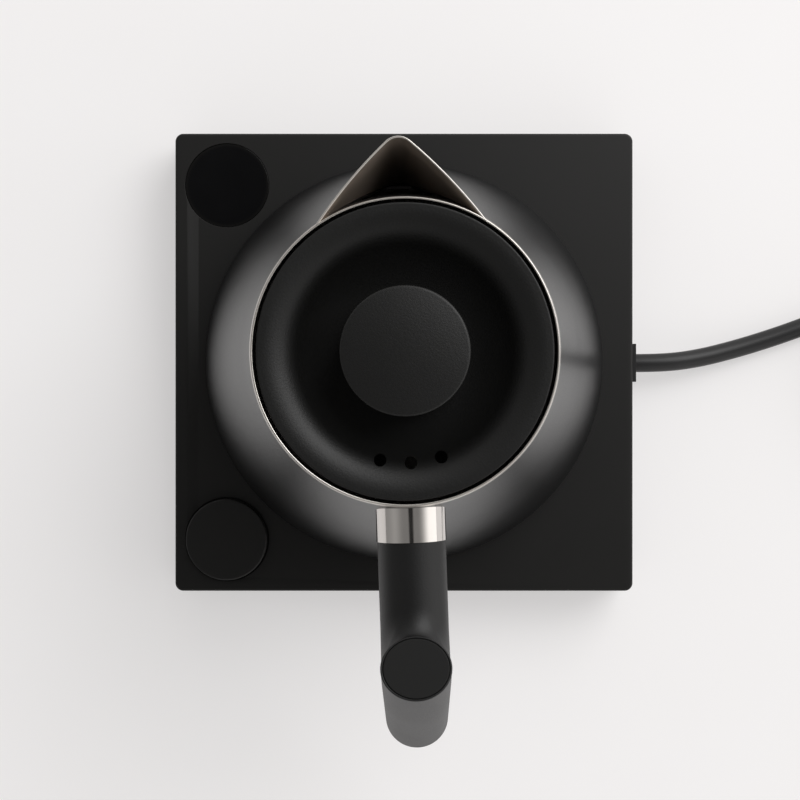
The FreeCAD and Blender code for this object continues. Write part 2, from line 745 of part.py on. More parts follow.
keep_jug("bottom_screws", group(*[screw((*spot, cover_low), 6) for spot in around]))
keep("connector_socket", turned(
    ("socket_bore", "jug_gap + 0.2"),
    ("socket_radius", "jug_gap + 0.2"),
    ("socket_radius", "body_lip + wall + cover_thick - 1.5 + fit"),
    ("socket_radius + 3", "body_lip + wall + cover_thick - 1.5 + fit"),
    ("socket_radius + 3", "body_lip + wall + cover_thick + 0.7 + fit"),
    ("socket_radius", "body_lip + wall + cover_thick + 0.7 + fit"),
    ("socket_radius", "plate_height - fit"),
    ("0", "plate_height - fit"),
    ("0", "socket_roof"),
    ("socket_bore", "socket_roof"),
), "base_height")
keep("jug_contacts", group(
    rod("pin_radius", "socket_roof - 2", (0, 0, "2")),
    ring("groove_radius + 0.4", "groove_radius + 0.4 + strip", "5", "socket_roof"),
), "base_height")

# ---------------------------------------------------------------- handle

arm_y = "-collar_reach"
keep_jug("handle_collar", cut(
    rod("collar_radius", "collar_reach - rim_radius + 8", (0, "8 - rim_radius", "arm_height"), "-y"),
    jug_form,
    rod("stud_radius + slip", "stud_long", (0, "6 - collar_reach", "arm_height"), "-y"),
))
stud = rod("stud_radius", "stud_long", (0, "5 - collar_reach", "arm_height"), "-y")
keep_jug("handle_stud", group(stud))


def grip_rod(radius, height, start):
    """A round bar on the grip's axis, starting a distance up from the grip's lower end."""
    thing = doc.addObject("Part::Cylinder", "grip_rod")
    thing.setExpression("Radius", bind(radius))
    thing.setExpression("Height", bind(height))
    thing.Placement = Placement(Vector(), Rotation(Vector(-1, 0, 0), number("grip_rake")))
    thing.setExpression("Placement.Rotation.Angle", bind("grip_rake"))
    return put(thing, (0, f"({start}) * sin(grip_rake) - grip_foot_reach",
                       f"({start}) * cos(grip_rake) + grip_foot"))


grip_axis_reach = "grip_foot_reach - (arm_height - grip_foot) * tan(grip_rake)"
handle_form = fuse(
    grip_rod("grip_radius", "grip_long", 0),
    rod("arm_radius", f"{grip_axis_reach} - collar_reach", (0, arm_y, "arm_height"), "-y"),
)
keep_jug("handle", cut(
    handle_form,
    rod("stud_radius + slip", "stud_long - 4", (0, arm_y, "arm_height"), "-y"),
    grip_rod("grip_bore", "grip_long - 36", "0"),
    grip_rod("grip_radius - 0.6", "cap_thick + 1", "-1"),
    grip_rod("thumb_radius + slip", 10, "grip_long - thumb_thick"),
))
keep_jug("thumb_rest", group(grip_rod("thumb_radius", "thumb_thick", "grip_long - thumb_thick")))
keep_jug("grip_end_cap", fuse(
    grip_rod("grip_radius - 0.6 - slip", "cap_thick", "0"),
    grip_rod("grip_bore - slip", "cap_thick + cap_plug", "0"),
))

# ---------------------------------------------------------------- lid

keep_lid("lid_shell", cut(
    turned(
        ("0", "dish_floor - lid_shell"),
        ("dish_radius", "dish_floor - lid_shell"),
        ("fold_radius + lid_shell * sin(dish_slope)",
         "fold_height - lid_shell * cos(dish_slope)", "dish_sweep + lid_shell"),
        ("lip_radius", "rim_height - lid_shell", "-(lip_bend - lid_shell)"),
        ("lid_radius", "rim_height - lid_edge"),
        ("lid_radius", "rim_height - 0.5"),
        ("lid_radius - 0.5", "rim_height", 0.5),
        ("lip_radius", "rim_height"),
        ("fold_radius", "fold_height", "lip_bend"),
        ("dish_radius", "dish_floor", "-dish_sweep"),
        ("0", "dish_floor"),
    ),
    *[rod("vent_radius", 30, (f"vent_circle * sin({step} * vent_step)",
                              f"-vent_circle * cos({step} * vent_step)", "rim_height - 25"))
      for step in (-1, 0, 1)],
    rod("knob_radius + slip", "dish_depth", (0, 0, "dish_floor")),
    rod("2 + fit", 20, (0, 0, "dish_floor - 15")),
))
keep_lid("lid_knob", cut(
    turned(
        ("0", "dish_floor"),
        ("knob_radius", "dish_floor"),
        ("knob_radius", "dish_floor + knob_height - knob_edge"),
        ("knob_radius - knob_edge", "dish_floor + knob_height", "knob_edge"),
        ("0", "dish_floor + knob_height"),
    ),
    rod("2 + slip", "knob_height - 6", (0, 0, "dish_floor")),
))
keep_lid("lid_pan", cut(
    turned(
        ("0", "pan_floor"),
        ("pan_radius", "pan_floor"),
        ("pan_radius", "pan_top"),
        ("pan_radius - wall", "pan_top"),
        ("pan_radius - wall", "pan_floor + wall"),
        ("0", "pan_floor + wall"),
    ),
    rod("2 + fit", 20, (0, 0, "pan_floor - 5")),
    *[rod(2.5, 10, (f"vent_circle * sin({step} * 30)", f"-vent_circle * cos({step} * 30)",
                    "pan_floor - 5")) for step in (-1, 0, 1)],
))
keep_lid("lid_spacer", ring("2 + fit", "7", "pan_floor + wall", "dish_floor - lid_shell"))
keep_lid("lid_screw", fuse(
    rod(4, 1.8, (0, 0, "pan_floor - 1.8")),
    rod(2, "pan_depth - dish_depth + 12", (0, 0, "pan_floor - 0.5")),
))
seal_low = "rim_height - 10"
keep("lid_seal", ring("pan_radius + fit", "pan_radius + fit + seal_thick",
                      seal_low, f"{seal_low} + seal_height"), "base_height")

# ---------------------------------------------------------------- cord

gland_low = "cord_height - gland_tall / 2"
keep("cord_gland", fuse(
    slab(("gland_proud", "gland_wide", "gland_tall"),
         ("half_base + gland_proud / 2", 0, gland_low)),
    slab(("base_wall", "gland_wide - 3 - slip", "gland_tall - 3 - slip"),
         ("half_base - base_wall / 2", 0, f"{gland_low} + 1.5 + slip / 2")),
    slab((2, "gland_wide", "gland_tall"), ("inner_face - 1", 0, gland_low)),
    rod("cord_radius + 1.6", "inner_face - gland_foot", ("inner_face", 0, "cord_height"), "-x"),
))
keep("cord_tail", rod("cord_radius", "clamp_wide + 3", ("gland_foot", 0, "cord_height"), "-x"))
clamp_low = "cord_height + cord_radius"
keep("cord_clamp", cut(
    slab(("clamp_wide", "2 * clamp_span + 2 * clamp_post", 3), ("clamp_place", 0, clamp_low)),
    *[rod("screw_radius + slip", 9, ("clamp_place", f"{side}clamp_span", clamp_low))
      for side in ("-", "")],
))
board_screws += [
    screw(("clamp_place", f"{side}clamp_span", f"{clamp_low} + 3 + screw_sink"), 3, up=False)
    for side in ("-", "")
]
keep("board_screws", group(*board_screws))

# The free cord: from the strain relief down to the table and on to the coil, then from the
# coil's upper turn round to the plug. The points are chosen by hand, in millimetres.
LEAD = [
    (88.6, 0, 9.5), (100, 0, 9.5), (114, 1.9, 6.6), (129, 5.7, 4.4), (143, 10, 3.6),
    (157, 15, 3.5), (172, 21.2, 3.5), (186, 26.4, 3.5), (199, 28.9, 3.5),
]
TAIL = [
    (246, -12, 10.8), (246, -22, 10.8), (245, -32, 10.9), (243, -42, 10), (241, -52, 9),
    (241, -62, 9),
]


def tube(name, points):
    """A cord along straight runs joined by tangent arcs."""
    radius = number("cord_radius")
    spots = [Vector(*p) for p in points]
    edges, radii = [], []
    begin = spots[0]
    for before, here, after in zip(spots, spots[1:], spots[2:]):
        come, go = (here - before), (after - here)
        cut_back = 0.45 * min(come.Length, go.Length)
        turn = come.getAngle(go)
        radii.append(cut_back / math.tan(turn / 2))
        come.normalize()
        go.normalize()
        enter, leave = here - come * cut_back, here + go * cut_back
        bulge = (go - come).normalize()
        centre_gap = radii[-1] / math.cos(turn / 2)
        middle = here + bulge * (centre_gap - radii[-1])
        edges += [Part.LineSegment(begin, enter).toShape(), Part.Arc(enter, middle, leave).toShape()]
        begin = leave
    edges.append(Part.LineSegment(begin, spots[-1]).toShape())
    path = Part.Wire(edges)
    circle = Part.Circle(spots[0], spots[1] - spots[0], radius)
    thing = doc.addObject("Part::Feature", name)
    thing.Shape = path.makePipeShell([Part.Wire(circle.toShape())], True, False)
    share = thing.Shape.Volume / (math.pi * radius ** 2 * path.Length)
    print(f"{name}: {path.Length:.1f} mm, volume share {share:.4f}, radii",
          " ".join(f"{r:.0f}" for r in radii))
    return thing


keep("power_cord", tube("power_cord", LEAD))
keep("cord_end", tube("cord_end", TAIL))

coil_spot = ("coil_across", "-coil_along")
turns_top = "2 * cord_radius"
lower_turns = cut(
    rod("coil_outer + cord_radius", turns_top, (*coil_spot, 0)),
    rod("coil_inner - cord_radius", "4 * cord_radius", (*coil_spot, "-cord_radius")),
)
upper_form = rod("(coil_inner + coil_outer) / 2 + cord_radius", "coil_rise", (*coil_spot, turns_top))
upper_form.setExpression("Angle", bind("coil_upper_turn"))
upper_turn = cut(
    upper_form,
    rod("(coil_inner + coil_outer) / 2 - cord_radius", "4 * cord_radius", (*coil_spot, 0)),
)
bundle_wide = "coil_outer - coil_inner + 2 * cord_radius"
bundle_at = ("coil_across", "-coil_along - (coil_inner + coil_outer) / 2")
tie_form = slab(("tie_wide", f"{bundle_wide} + 2 * tie_thick", f"{turns_top} + tie_thick"),
                (*bundle_at, 0))
tie_hole = slab(("2 * tie_wide", bundle_wide, f"{turns_top} - tie_thick"), (*bundle_at, "tie_thick"))
tie = cut(tie_form, tie_hole)
keep("cord_coil", cut(fuse(lower_turns, upper_turn), tie))
keep("coil_tie", tie)

plug_x, relief_y, plug_z = TAIL[-1]
relief = doc.addObject("Part::Cone", "relief")
relief.setExpression("Radius1", bind("cord_radius + 0.9"))
relief.setExpression("Radius2", bind("relief_radius"))
relief.setExpression("Height", bind("relief_long"))
relief.Placement = Placement(Vector(), TURN["-y"])
keep("plug_relief", group(put(relief, (plug_x, relief_y, plug_z))))
plug_face = f"{relief_y} - relief_long - plug_long"
plug_form = block("plug_wide", "plug_long", f"{plug_z} - plug_tall / 2", f"{plug_z} + plug_tall / 2",
                  3.5, 2)
keep("plug_body", group(put(plug_form, (plug_x, f"{plug_face} + plug_long / 2", 0))))
keep("plug_pins", group(
    *[slab(("blade_thick", "blade_long", "blade_wide"),
           (f"{plug_x} {side} blade_span / 2", f"{plug_face} - blade_long / 2",
            f"{plug_z} + blade_rise - blade_wide / 2"))
      for side in "-+"],
    rod("ground_radius", "ground_long", (plug_x, plug_face, f"{plug_z} + blade_rise - ground_drop"),
        "-y"),
))
doc.recompute()

# ---------------------------------------------------------------- check and write

for thing in doc.Objects:
    if "Invalid" in thing.State or "Error" in thing.State:
        raise RuntimeError(f"{thing.Label} did not compute: {thing.State}")
os.makedirs("parts", exist_ok=True)
for thing in subparts:
    shape = thing.Shape
    if shape.isNull() or not shape.isValid() or not shape.Solids:
        raise RuntimeError(f"{thing.Label} is not a sound solid")
    shape.exportStep(f"parts/{thing.Label}.step")
    box = shape.BoundBox
    print(f"{thing.Label:22s} {len(shape.Solids)} {shape.Volume:10.0f}  "
          f"x {box.XMin:.1f} {box.XMax:.1f}  y {box.YMin:.1f} {box.YMax:.1f}  "
          f"z {box.ZMin:.1f} {box.ZMax:.1f}")
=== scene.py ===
# %% [markdown]
# # An electric kettle
# A tapered steel jug with a beak spout and a dished lid stands on a square, flat power base.
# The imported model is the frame: it gives every piece its place. This script adds the looks:
# finer surfaces where they show, and a finish for each material. Sizes are in millimetres,
# as on a drawing, and become metres when a mesh is made.

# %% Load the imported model
import json
import math

import bmesh
import bpy
import numpy as np
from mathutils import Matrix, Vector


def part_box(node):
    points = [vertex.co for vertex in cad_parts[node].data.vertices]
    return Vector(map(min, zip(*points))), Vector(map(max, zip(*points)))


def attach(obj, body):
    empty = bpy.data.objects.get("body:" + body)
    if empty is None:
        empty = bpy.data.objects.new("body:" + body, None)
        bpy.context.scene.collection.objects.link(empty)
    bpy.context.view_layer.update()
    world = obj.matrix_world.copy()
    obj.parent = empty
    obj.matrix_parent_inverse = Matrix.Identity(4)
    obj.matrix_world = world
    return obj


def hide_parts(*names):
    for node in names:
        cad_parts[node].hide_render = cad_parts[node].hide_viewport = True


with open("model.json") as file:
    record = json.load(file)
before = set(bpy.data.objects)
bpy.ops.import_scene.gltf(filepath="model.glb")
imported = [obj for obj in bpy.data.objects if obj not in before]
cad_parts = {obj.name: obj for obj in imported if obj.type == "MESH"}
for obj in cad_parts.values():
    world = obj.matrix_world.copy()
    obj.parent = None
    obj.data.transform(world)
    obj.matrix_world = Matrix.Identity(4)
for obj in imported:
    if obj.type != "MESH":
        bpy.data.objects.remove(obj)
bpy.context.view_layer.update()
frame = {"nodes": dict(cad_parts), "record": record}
MM = 0.001
print("nodes in the frame:", len(frame["nodes"]))

# %% [markdown]
# ## Camera
# The kettle is seen from straight above, from 70 cm, so its tall parts lean away from the
# middle of the view. A long lens at that distance keeps the lean small. Left unturned, a
# camera looks down -Z with +Y up, so it only needs a place and a lens.

# %% Camera
def placed(name, data):
    """A new object in the scene."""
    made = bpy.data.objects.new(name, data)
    bpy.context.scene.collection.objects.link(made)
    return made


camera_data = bpy.data.cameras.new("camera")
camera_data.lens = 80.8
camera_data.sensor_width = 36
camera_data.clip_start = 0.01
camera = placed("camera", camera_data)
camera.location = (-0.0015, -0.0142, 0.7)
bpy.context.scene.camera = camera
print("camera height:", camera.location.z)

# %% [markdown]
# ## Cord
# The lead leaves the base at its right side, sinks to the table in a lazy curve, and the
# spare length is wound in a neat coil, tied, with the plug beside it. A lead is stiff and
# springy, so its line has no corners. A NURBS curve of order 3 gives that: the points steer
# it and it passes near them. The turns of the coil are points on circles: two turns side by
# side on the table, then part of a third that climbs over them and leaves for the plug.

# %% Cord route
CORD_WIDE = 7.0
COIL_SPOT = (208.0, -12.0)
POINTS_PER_TURN = 18
LEAD = [(88.6, 0, 9.5), (100, 0, 9.5), (114, 1.9, 6.6), (129, 5.7, 4.4), (143, 10, 3.6),
        (157, 15, 3.5), (172, 21.2, 3.5), (186, 26.4, 3.5), (199, 28.9, 3.5)]
TAIL = [(246, -12, 10.8), (246, -22, 10.8), (245, -32, 10.9), (243, -42, 10), (241, -52, 9),
        (241, -62, 9)]
# Stations along the coil: angle gone through (degrees, clockwise), radius and height.
COIL = [(0, 41.5, 3.5), (250, 41.5, 3.5), (330, 34.5, 3.5), (590, 34.5, 3.5),
        (640, 34.7, 9.8), (668, 36.3, 10.9), (685, 38, 10.2), (710, 38, 9.8), (822, 38, 10.4)]
COIL_START = 102.0
gone = np.arange(360 / POINTS_PER_TURN, 800, 360 / POINTS_PER_TURN)
stations = np.array(COIL)
coil_radius = np.interp(gone, stations[:, 0], stations[:, 1]) / math.cos(math.pi / POINTS_PER_TURN)
coil_height = np.interp(gone, stations[:, 0], stations[:, 2])
angle = np.radians(COIL_START - gone)
coil_points = np.stack([COIL_SPOT[0] + coil_radius * np.cos(angle),
                        COIL_SPOT[1] + coil_radius * np.sin(angle), coil_height], -1)
print("points on the cord:", len(LEAD) + len(coil_points) + len(TAIL))

# %% Cord curve
route = np.concatenate([LEAD, coil_points, TAIL]) * MM
cord_curve = bpy.data.curves.new("power_lead", "CURVE")
cord_curve.dimensions = "3D"
cord_curve.bevel_depth = CORD_WIDE / 2 * MM
cord_curve.bevel_resolution = 6
cord_curve.use_fill_caps = True
cord_curve.resolution_u = 8
spline = cord_curve.splines.new("NURBS")
spline.points.add(len(route) - 1)
spline.points.foreach_set("co", np.c_[route, np.ones(len(route))].ravel())
spline.order_u = 3
spline.use_endpoint_u = True
cord = placed("power_lead", cord_curve)
print("cord spline length (m):", round(spline.calc_length(), 4))

# %% [markdown]
# ## Shader maths
# Each finish is a small node tree: a base colour, then grain, smudges and scratches that
# change roughness, colour and the way the surface tilts. Linking nodes one by one is hard to
# read, so a link is wrapped in a class that knows sums: `1 - mask * 0.3` adds the Math nodes.
# Any other node comes from one method, with its settings and the values of its sockets.

# %% Links that add up
class Link:
    """The output of a node. Sums and products of it are new Math nodes in the same tree."""

    def __init__(self, tree, socket):
        self.tree, self.socket = tree, socket

    def maths(self, operation, *values):
        """A Math node of two values or links."""
        node = self.tree.nodes.new("ShaderNodeMath")
        node.operation = operation
        for slot, value in zip(node.inputs, values):
            join(self.tree, slot, value)
        return Link(self.tree, node.outputs[0])

    def __add__(self, other):
        return self.maths("ADD", self, other)

    def __mul__(self, other):
        return self.maths("MULTIPLY", self, other)

    def __sub__(self, other):
        return self.maths("SUBTRACT", self, other)

    def __rsub__(self, other):
        return self.maths("SUBTRACT", other, self)

    __radd__, __rmul__ = __add__, __mul__


def join(tree, slot, value):
    """Links a Link to a socket, or sets a plain value on it."""
    if isinstance(value, Link):
        tree.links.new(value.socket, slot)
    else:
        slot.default_value = value


class Nodes:
    """A node tree and the one way to add a node of any kind to it."""

    def __init__(self, tree):
        self.tree = tree

    def node(self, kind, settings=None, out=0, sockets=None, **values):
        """Sets a new node's settings first, then its sockets: by name, where an underscore
        stands for a space, or by number. out says which output the link comes from."""
        made = self.tree.nodes.new(kind)
        for name, value in (settings or {}).items():
            setattr(made, name, value)
        named = {name.replace("_", " "): value for name, value in values.items()}
        for slot, value in {**named, **(sockets or {})}.items():
            join(self.tree, made.inputs[slot], value)
        return Link(self.tree, made.outputs[out])


# %% A material as a tree
class Finish(Nodes):
    """A material: its tree, its Principled shader and the object's own coordinates."""

    def __init__(self, name):
        self.material = bpy.data.materials.new(name)
        self.material.use_nodes = True
        super().__init__(self.material.node_tree)
        self.shader = self.tree.nodes["Principled BSDF"]
        self.place = self.node("ShaderNodeTexCoord", out="Object")

    def set(self, **values):
        """Sets or links the shader's own sockets."""
        for name, value in values.items():
            join(self.tree, self.shader.inputs[name.replace("_", " ")], value)

    def noise(self, size, detail=2.0, stretch=None, rough=0.5):
        """Soft random values about 0.5, with lumps of a size in millimetres."""
        at = self.place
        if stretch:
            at = self.node("ShaderNodeMapping", Vector=at, Scale=stretch)
        return self.node("ShaderNodeTexNoise", Vector=at, Scale=1 / (size * MM), Detail=detail,
                         Roughness=rough)

    def blend(self, share, dark, light):
        """A colour between two colours. A Mix node has its colours at sockets 6 and 7."""
        return self.node("ShaderNodeMix", {"data_type": "RGBA"}, 2,
                         {0: share, 6: (*dark, 1), 7: (*light, 1)})

    def bump(self, height, rise):
        """A bump whose highest points rise by so many millimetres."""
        return self.node("ShaderNodeBump", Height=height, Distance=rise * MM)


print("shader helpers ready")

# %% [markdown]
# ## Finishes
# Most of the kettle is black, and only the finishes tell the blacks apart: sprayed paint with
# a faint orange peel on the jug, sand-like moulded grain on the lid and the handle, a smooth
# dull skin on the base, dark glass in the display. They differ in roughness and in grain, so
# one function makes the plastics and another the metals, each with its own numbers.

# %% Plastics and paints
def moulded(name, colour, rough, grain, rise, spread=0.25, patch=30.0, speck=0.0, ior=1.4):
    """Moulded or sprayed black: grain is the size of its bumps and rise their height, both in
    millimetres. Colour and roughness drift by a share over patches, as handled plastic does."""
    finish = Finish(name)
    drift = finish.noise(patch, 3.0)
    fine = finish.noise(grain, 2.0, rough=0.6)
    dark = tuple(c * (1 - spread) for c in colour)
    light = tuple(c * (1 + spread) + speck for c in colour)
    share = drift * 0.6 + fine * 0.4
    finish.set(Base_Color=finish.blend(share, dark, light), IOR=ior,
               Roughness=rough + (drift - 0.5) * 0.08 + (fine - 0.5) * 0.1,
               Normal=finish.bump(fine, rise))
    return finish.material


# %% Metals
def metal(name, colour, rough, lines, line_size, rise, smudge=0.06):
    """Metal with scratches along one direction: lines is how much the grain is squeezed along
    each axis, so a small value draws it out. Smudges lift the roughness in patches."""
    finish = Finish(name)
    drawn = finish.noise(line_size, 3.0, lines, 0.6)
    patches = finish.noise(14, 4.0, rough=0.6)
    dark = tuple(c * 0.82 for c in colour)
    finish.set(Base_Color=finish.blend(drawn * 0.5 + patches * 0.5, dark, colour), Metallic=1.0,
               Roughness=rough + (patches - 0.5) * smudge * 2 + (drawn - 0.5) * 0.1,
               Normal=finish.bump(drawn, rise))
    return finish.material


# %% The kettle's finishes
ALONG_Z, ALL_ROUND = (1, 1, 0.04), (1, 1, 1)
STEEL = (0.62, 0.59, 0.55)
paints = {
    "jug_paint": moulded("satin_black_paint", (0.005, 0.005, 0.0054), 0.31, 0.5, 0.003, patch=45,
                         ior=1.37),
    "base_plastic": moulded("dull_black_skin", (0.0024, 0.0021, 0.0017), 0.50, 0.28, 0.006),
    "floor_plastic": moulded("black_floor_plastic", (0.016, 0.016, 0.017), 0.55, 0.35, 0.012),
    "lid_plastic": moulded("grained_black_lid", (0.0018, 0.0018, 0.0016), 0.44, 0.60, 0.045,
                           speck=0.0015),
    "grip_plastic": moulded("grained_black_grip", (0.0028, 0.0028, 0.0029), 0.46, 0.55, 0.040,
                            speck=0.002),
    "dial_plastic": moulded("dull_black_dial", (0.0022, 0.0020, 0.0017), 0.58, 0.25, 0.006),
    "disc_plastic": moulded("dull_black_disc", (0.0018, 0.0018, 0.0016), 0.60, 0.25, 0.006,
                            ior=1.32),
    "foot_rubber": moulded("foot_rubber", (0.022, 0.021, 0.020), 0.75, 0.5, 0.03),
    "silicone": moulded("grey_silicone", (0.23, 0.23, 0.22), 0.5, 0.6, 0.01),
    "connector_plastic": moulded("black_connector", (0.006, 0.006, 0.0062), 0.46, 0.3, 0.006),
    "component_black": moulded("black_component", (0.02, 0.02, 0.021), 0.45, 0.4, 0.01),
    "component_white": moulded("white_component", (0.72, 0.71, 0.68), 0.5, 0.5, 0.01, 0.06),
    "cord_sheath": moulded("cord_sheath", (0.014, 0.014, 0.0145), 0.40, 0.5, 0.012),
    "tie_plastic": moulded("tie_plastic", (0.03, 0.03, 0.031), 0.42, 0.5, 0.008),
    "plug_plastic": moulded("plug_plastic", (0.016, 0.016, 0.0165), 0.44, 0.35, 0.014),
    "bare_steel": metal("bare_steel", STEEL, 0.30, ALONG_Z, 0.12, 0.002),
    "dull_steel": metal("dull_steel", (0.45, 0.38, 0.32), 0.60, ALL_ROUND, 0.5, 0.004),
    "polished_steel": metal("polished_steel", (0.72, 0.69, 0.66), 0.09, ALL_ROUND, 9, 0.004, 0.03),
    "steel_screw": metal("steel_screw", (0.50, 0.50, 0.50), 0.35, ALL_ROUND, 0.6, 0.006),
    "heater_aluminium": metal("heater_aluminium", (0.70, 0.71, 0.72), 0.42, ALL_ROUND, 0.8, 0.01),
    "plate_steel": metal("plate_steel", (0.58, 0.57, 0.55), 0.28, (1, 0.03, 1), 0.12, 0.002),
    "contact_brass": metal("contact_brass", (0.72, 0.55, 0.28), 0.26, ALL_ROUND, 1.2, 0.004),
}
print("plain finishes:", len(paints))

# %% [markdown]
# ## Display glass and circuit boards
# The display is a dark window: a clear smooth face over something nearly black. A thin coat
# over a dull dark base gives the two layers. A faint lighter ring painted at its edge, found
# from the distance to the window's middle, is a painted highlight round the rim. The boards
# are green lacquer over copper tracks, which show as slightly lighter lanes.

# %% Glass and lacquer
low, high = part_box("display_window")
display_spot = (low + high) / 2
DISPLAY_RADIUS = (high.x - low.x) / 2

glass = Finish("display_glass")
centred = glass.node("ShaderNodeMapping", Vector=glass.place,
                     Location=(-display_spot.x, -display_spot.y, -display_spot.z))
distance = glass.node("ShaderNodeVectorMath", {"operation": "LENGTH"}, "Value", Vector=centred)
# A lighter ring painted at the window's edge: a painted highlight round the rim.
edge = glass.node("ShaderNodeMapRange", {"interpolation_type": "SMOOTHSTEP"}, Value=distance,
                  From_Min=DISPLAY_RADIUS - 1.6 * MM, From_Max=DISPLAY_RADIUS - 0.3 * MM)
haze = glass.noise(11, 4.0)
glass.set(Base_Color=glass.blend(edge, (0.001, 0.001, 0.0014), (0.004, 0.0038, 0.0036)),
          IOR=1.3, Roughness=0.16 + haze * 0.08, Coat_Weight=haze * 0.1, Coat_Roughness=0.05,
          Normal=glass.bump(haze, 0.002))
paints["display_gloss"] = glass.material

board = Finish("green_board")
lanes = board.node("ShaderNodeTexBrick", Vector=board.place, Scale=160.0, Mortar_Size=0.03,
                   Color1=(0, 0, 0, 1), Color2=(0.2, 0.2, 0.2, 1), Mortar=(1, 1, 1, 1))
board.set(Base_Color=board.blend(lanes, (0.008, 0.05, 0.022), (0.03, 0.12, 0.05)),
          Roughness=0.3 + board.noise(3.0) * 0.15, Normal=board.bump(lanes, 0.03))
paints["circuit_board"] = board.material
print("finishes:", len(paints))

# %% [markdown]
# ## Meshes from arrays
# A surface is a grid of points: its rows follow a profile and its columns go round or along
# something. numpy works out all points at once. Two helpers turn arrays into pieces: one
# gives the faces between neighbours of a grid, the other makes the mesh, closes it, turns its
# normals outward and sets the finish and the body that it rides on.

# %% From arrays to pieces
SMOOTH_ANGLE = math.radians(38)


def grid_faces(rows, columns, wrap_rows=False, wrap_columns=False):
    """Quads between neighbouring points of a grid, counted row by row. A wrapped direction
    joins its last line to its first."""
    i = np.arange(rows if wrap_rows else rows - 1)[:, None]
    j = np.arange(columns if wrap_columns else columns - 1)[None, :]
    up, on = (i + 1) % rows, (j + 1) % columns
    corners = (i * columns + j, i * columns + on, up * columns + on, up * columns + j)
    return np.stack(np.broadcast_arrays(*corners), -1).reshape(-1, 4)


def tube_faces(rows, columns):
    """Quads round a tube whose rows are rings, and a face over each of its ends."""
    last = (rows - 1) * columns
    return (grid_faces(rows, columns, False, True).tolist()
            + [list(range(columns)), list(range(last + columns - 1, last - 1, -1))])


def cleaned(mesh):
    """Merges points less than a micrometre apart, turns the faces outward, and shades smooth
    up to an angle."""
    work = bmesh.new()
    work.from_mesh(mesh)
    bmesh.ops.remove_doubles(work, verts=work.verts, dist=1e-6)
    bmesh.ops.dissolve_degenerate(work, edges=work.edges, dist=1e-7)
    bmesh.ops.recalc_face_normals(work, faces=work.faces)
    work.to_mesh(mesh)
    work.free()
    mesh.shade_smooth()
    mesh.set_sharp_from_angle(angle=SMOOTH_ANGLE)
    return mesh


def piece(name, points, faces, body, slot, replaces=()):
    """A piece of the kettle from points in millimetres, dressed in the finish of its slot."""
    mesh = bpy.data.meshes.new(name)
    faces = faces.tolist() if isinstance(faces, np.ndarray) else faces
    mesh.from_pydata((np.asarray(points, float).reshape(-1, 3) * MM).tolist(), [], faces)
    return dressed(placed(name, cleaned(mesh)), body, slot, replaces)


def dressed(made, body, slot, replaces=()):
    """Gives a piece its finish, the body that it rides on and the nodes that it stands for."""
    made.data.materials.clear()
    made.data.materials.append(paints[slot])
    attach(made, body)
    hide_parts(*replaces)
    count = len(made.data.polygons) if made.type == "MESH" else len(made.data.splines)
    print(f"{made.name}: {count} faces or curves")
    return made


dressed(cord, "base", "cord_sheath", ("power_cord", "cord_coil", "cord_end"))

# %% [markdown]
# ## Round profiles
# Nearly every visible piece is turned: a profile of a few corners spun about an axis. Real
# edges are never knife sharp, and it is the small round that catches a line of light. So a
# profile is a list of corners with a radius each, and a helper lays an arc in every corner,
# with one more point on each side to keep the flats flat when they are shaded smooth.

# %% Profiles and turning
ARC_STEPS = 6


def rounded(corners, closed=True):
    """Points along a profile. At a corner with radius R that turns by an angle T, the arc
    leaves the sides at R tan(T / 2) from the corner."""
    spots = np.array([c[:2] for c in corners], float)
    line = []
    for n, corner in enumerate(corners):
        here, radius = spots[n], corner[2] if len(corner) > 2 else 0
        if not radius or (not closed and n in (0, len(corners) - 1)):
            line.append(here[None])
            continue
        come, go = here - spots[n - 1], spots[(n + 1) % len(spots)] - here
        room = min(np.hypot(*come), np.hypot(*go))
        come, go = come / np.hypot(*come), go / np.hypot(*go)
        turn = math.acos(np.clip(come @ go, -1, 1))
        back = radius * math.tan(turn / 2)
        side = (go - come) / np.hypot(*(go - come))
        centre = here + side * radius / math.cos(turn / 2)
        swing = np.linspace(-turn / 2, turn / 2, ARC_STEPS + 1)[:, None]
        along = (come + go) / np.hypot(*(come + go))
        arc = centre - radius * (side * np.cos(swing) - along * np.sin(swing))
        hold = min(1.5 * back, 0.48 * room)
        if hold > back:
            line += [(here - come * hold)[None], arc, (here + go * hold)[None]]
        else:
            line.append(arc)
    return np.concatenate(line)


def upright(points, turn=0.0, raised=0.0, spot=(0, 0)):
    """Points turned about Z by an angle in degrees, raised, and moved to a spot."""
    c, s = math.cos(math.radians(turn)), math.sin(math.radians(turn))
    x, y, z = np.moveaxis(np.asarray(points, float), -1, 0)
    return np.stack([c * x - s * y + spot[0], s * x + c * y + spot[1], z + raised], -1)


def spun(profile, steps=128):
    """A profile (r, z) spun about Z: x = r cos a, y = r sin a."""
    a = np.linspace(0, 2 * math.pi, steps, endpoint=False)
    r, z = profile[:, :1], profile[:, 1:]
    return np.stack([r * np.cos(a), r * np.sin(a), z + 0 * a], -1)


BASE_TOP, JUG_TURN, LID_TURN = 25.0, 2.0, 3.0


def on_jug(points):
    """Points of the jug, which stands on the base's top, a little turned."""
    return upright(points, JUG_TURN, BASE_TOP)


def on_lid(points):
    """Points of the lid, which is turned a little more than the jug."""
    return upright(points, LID_TURN, BASE_TOP)


def turned(name, corners, body, slot, place, replaces=(), steps=128, closed=True):
    """A turned piece; place sets its points in the frame."""
    profile = rounded(corners, closed)
    faces = grid_faces(len(profile), steps, closed, True)
    return piece(name, place(spun(profile, steps)), faces, body, slot, replaces)


print("a rounded square corner has", len(rounded([(0, 0, 1), (9, 0), (9, 9)])), "points")

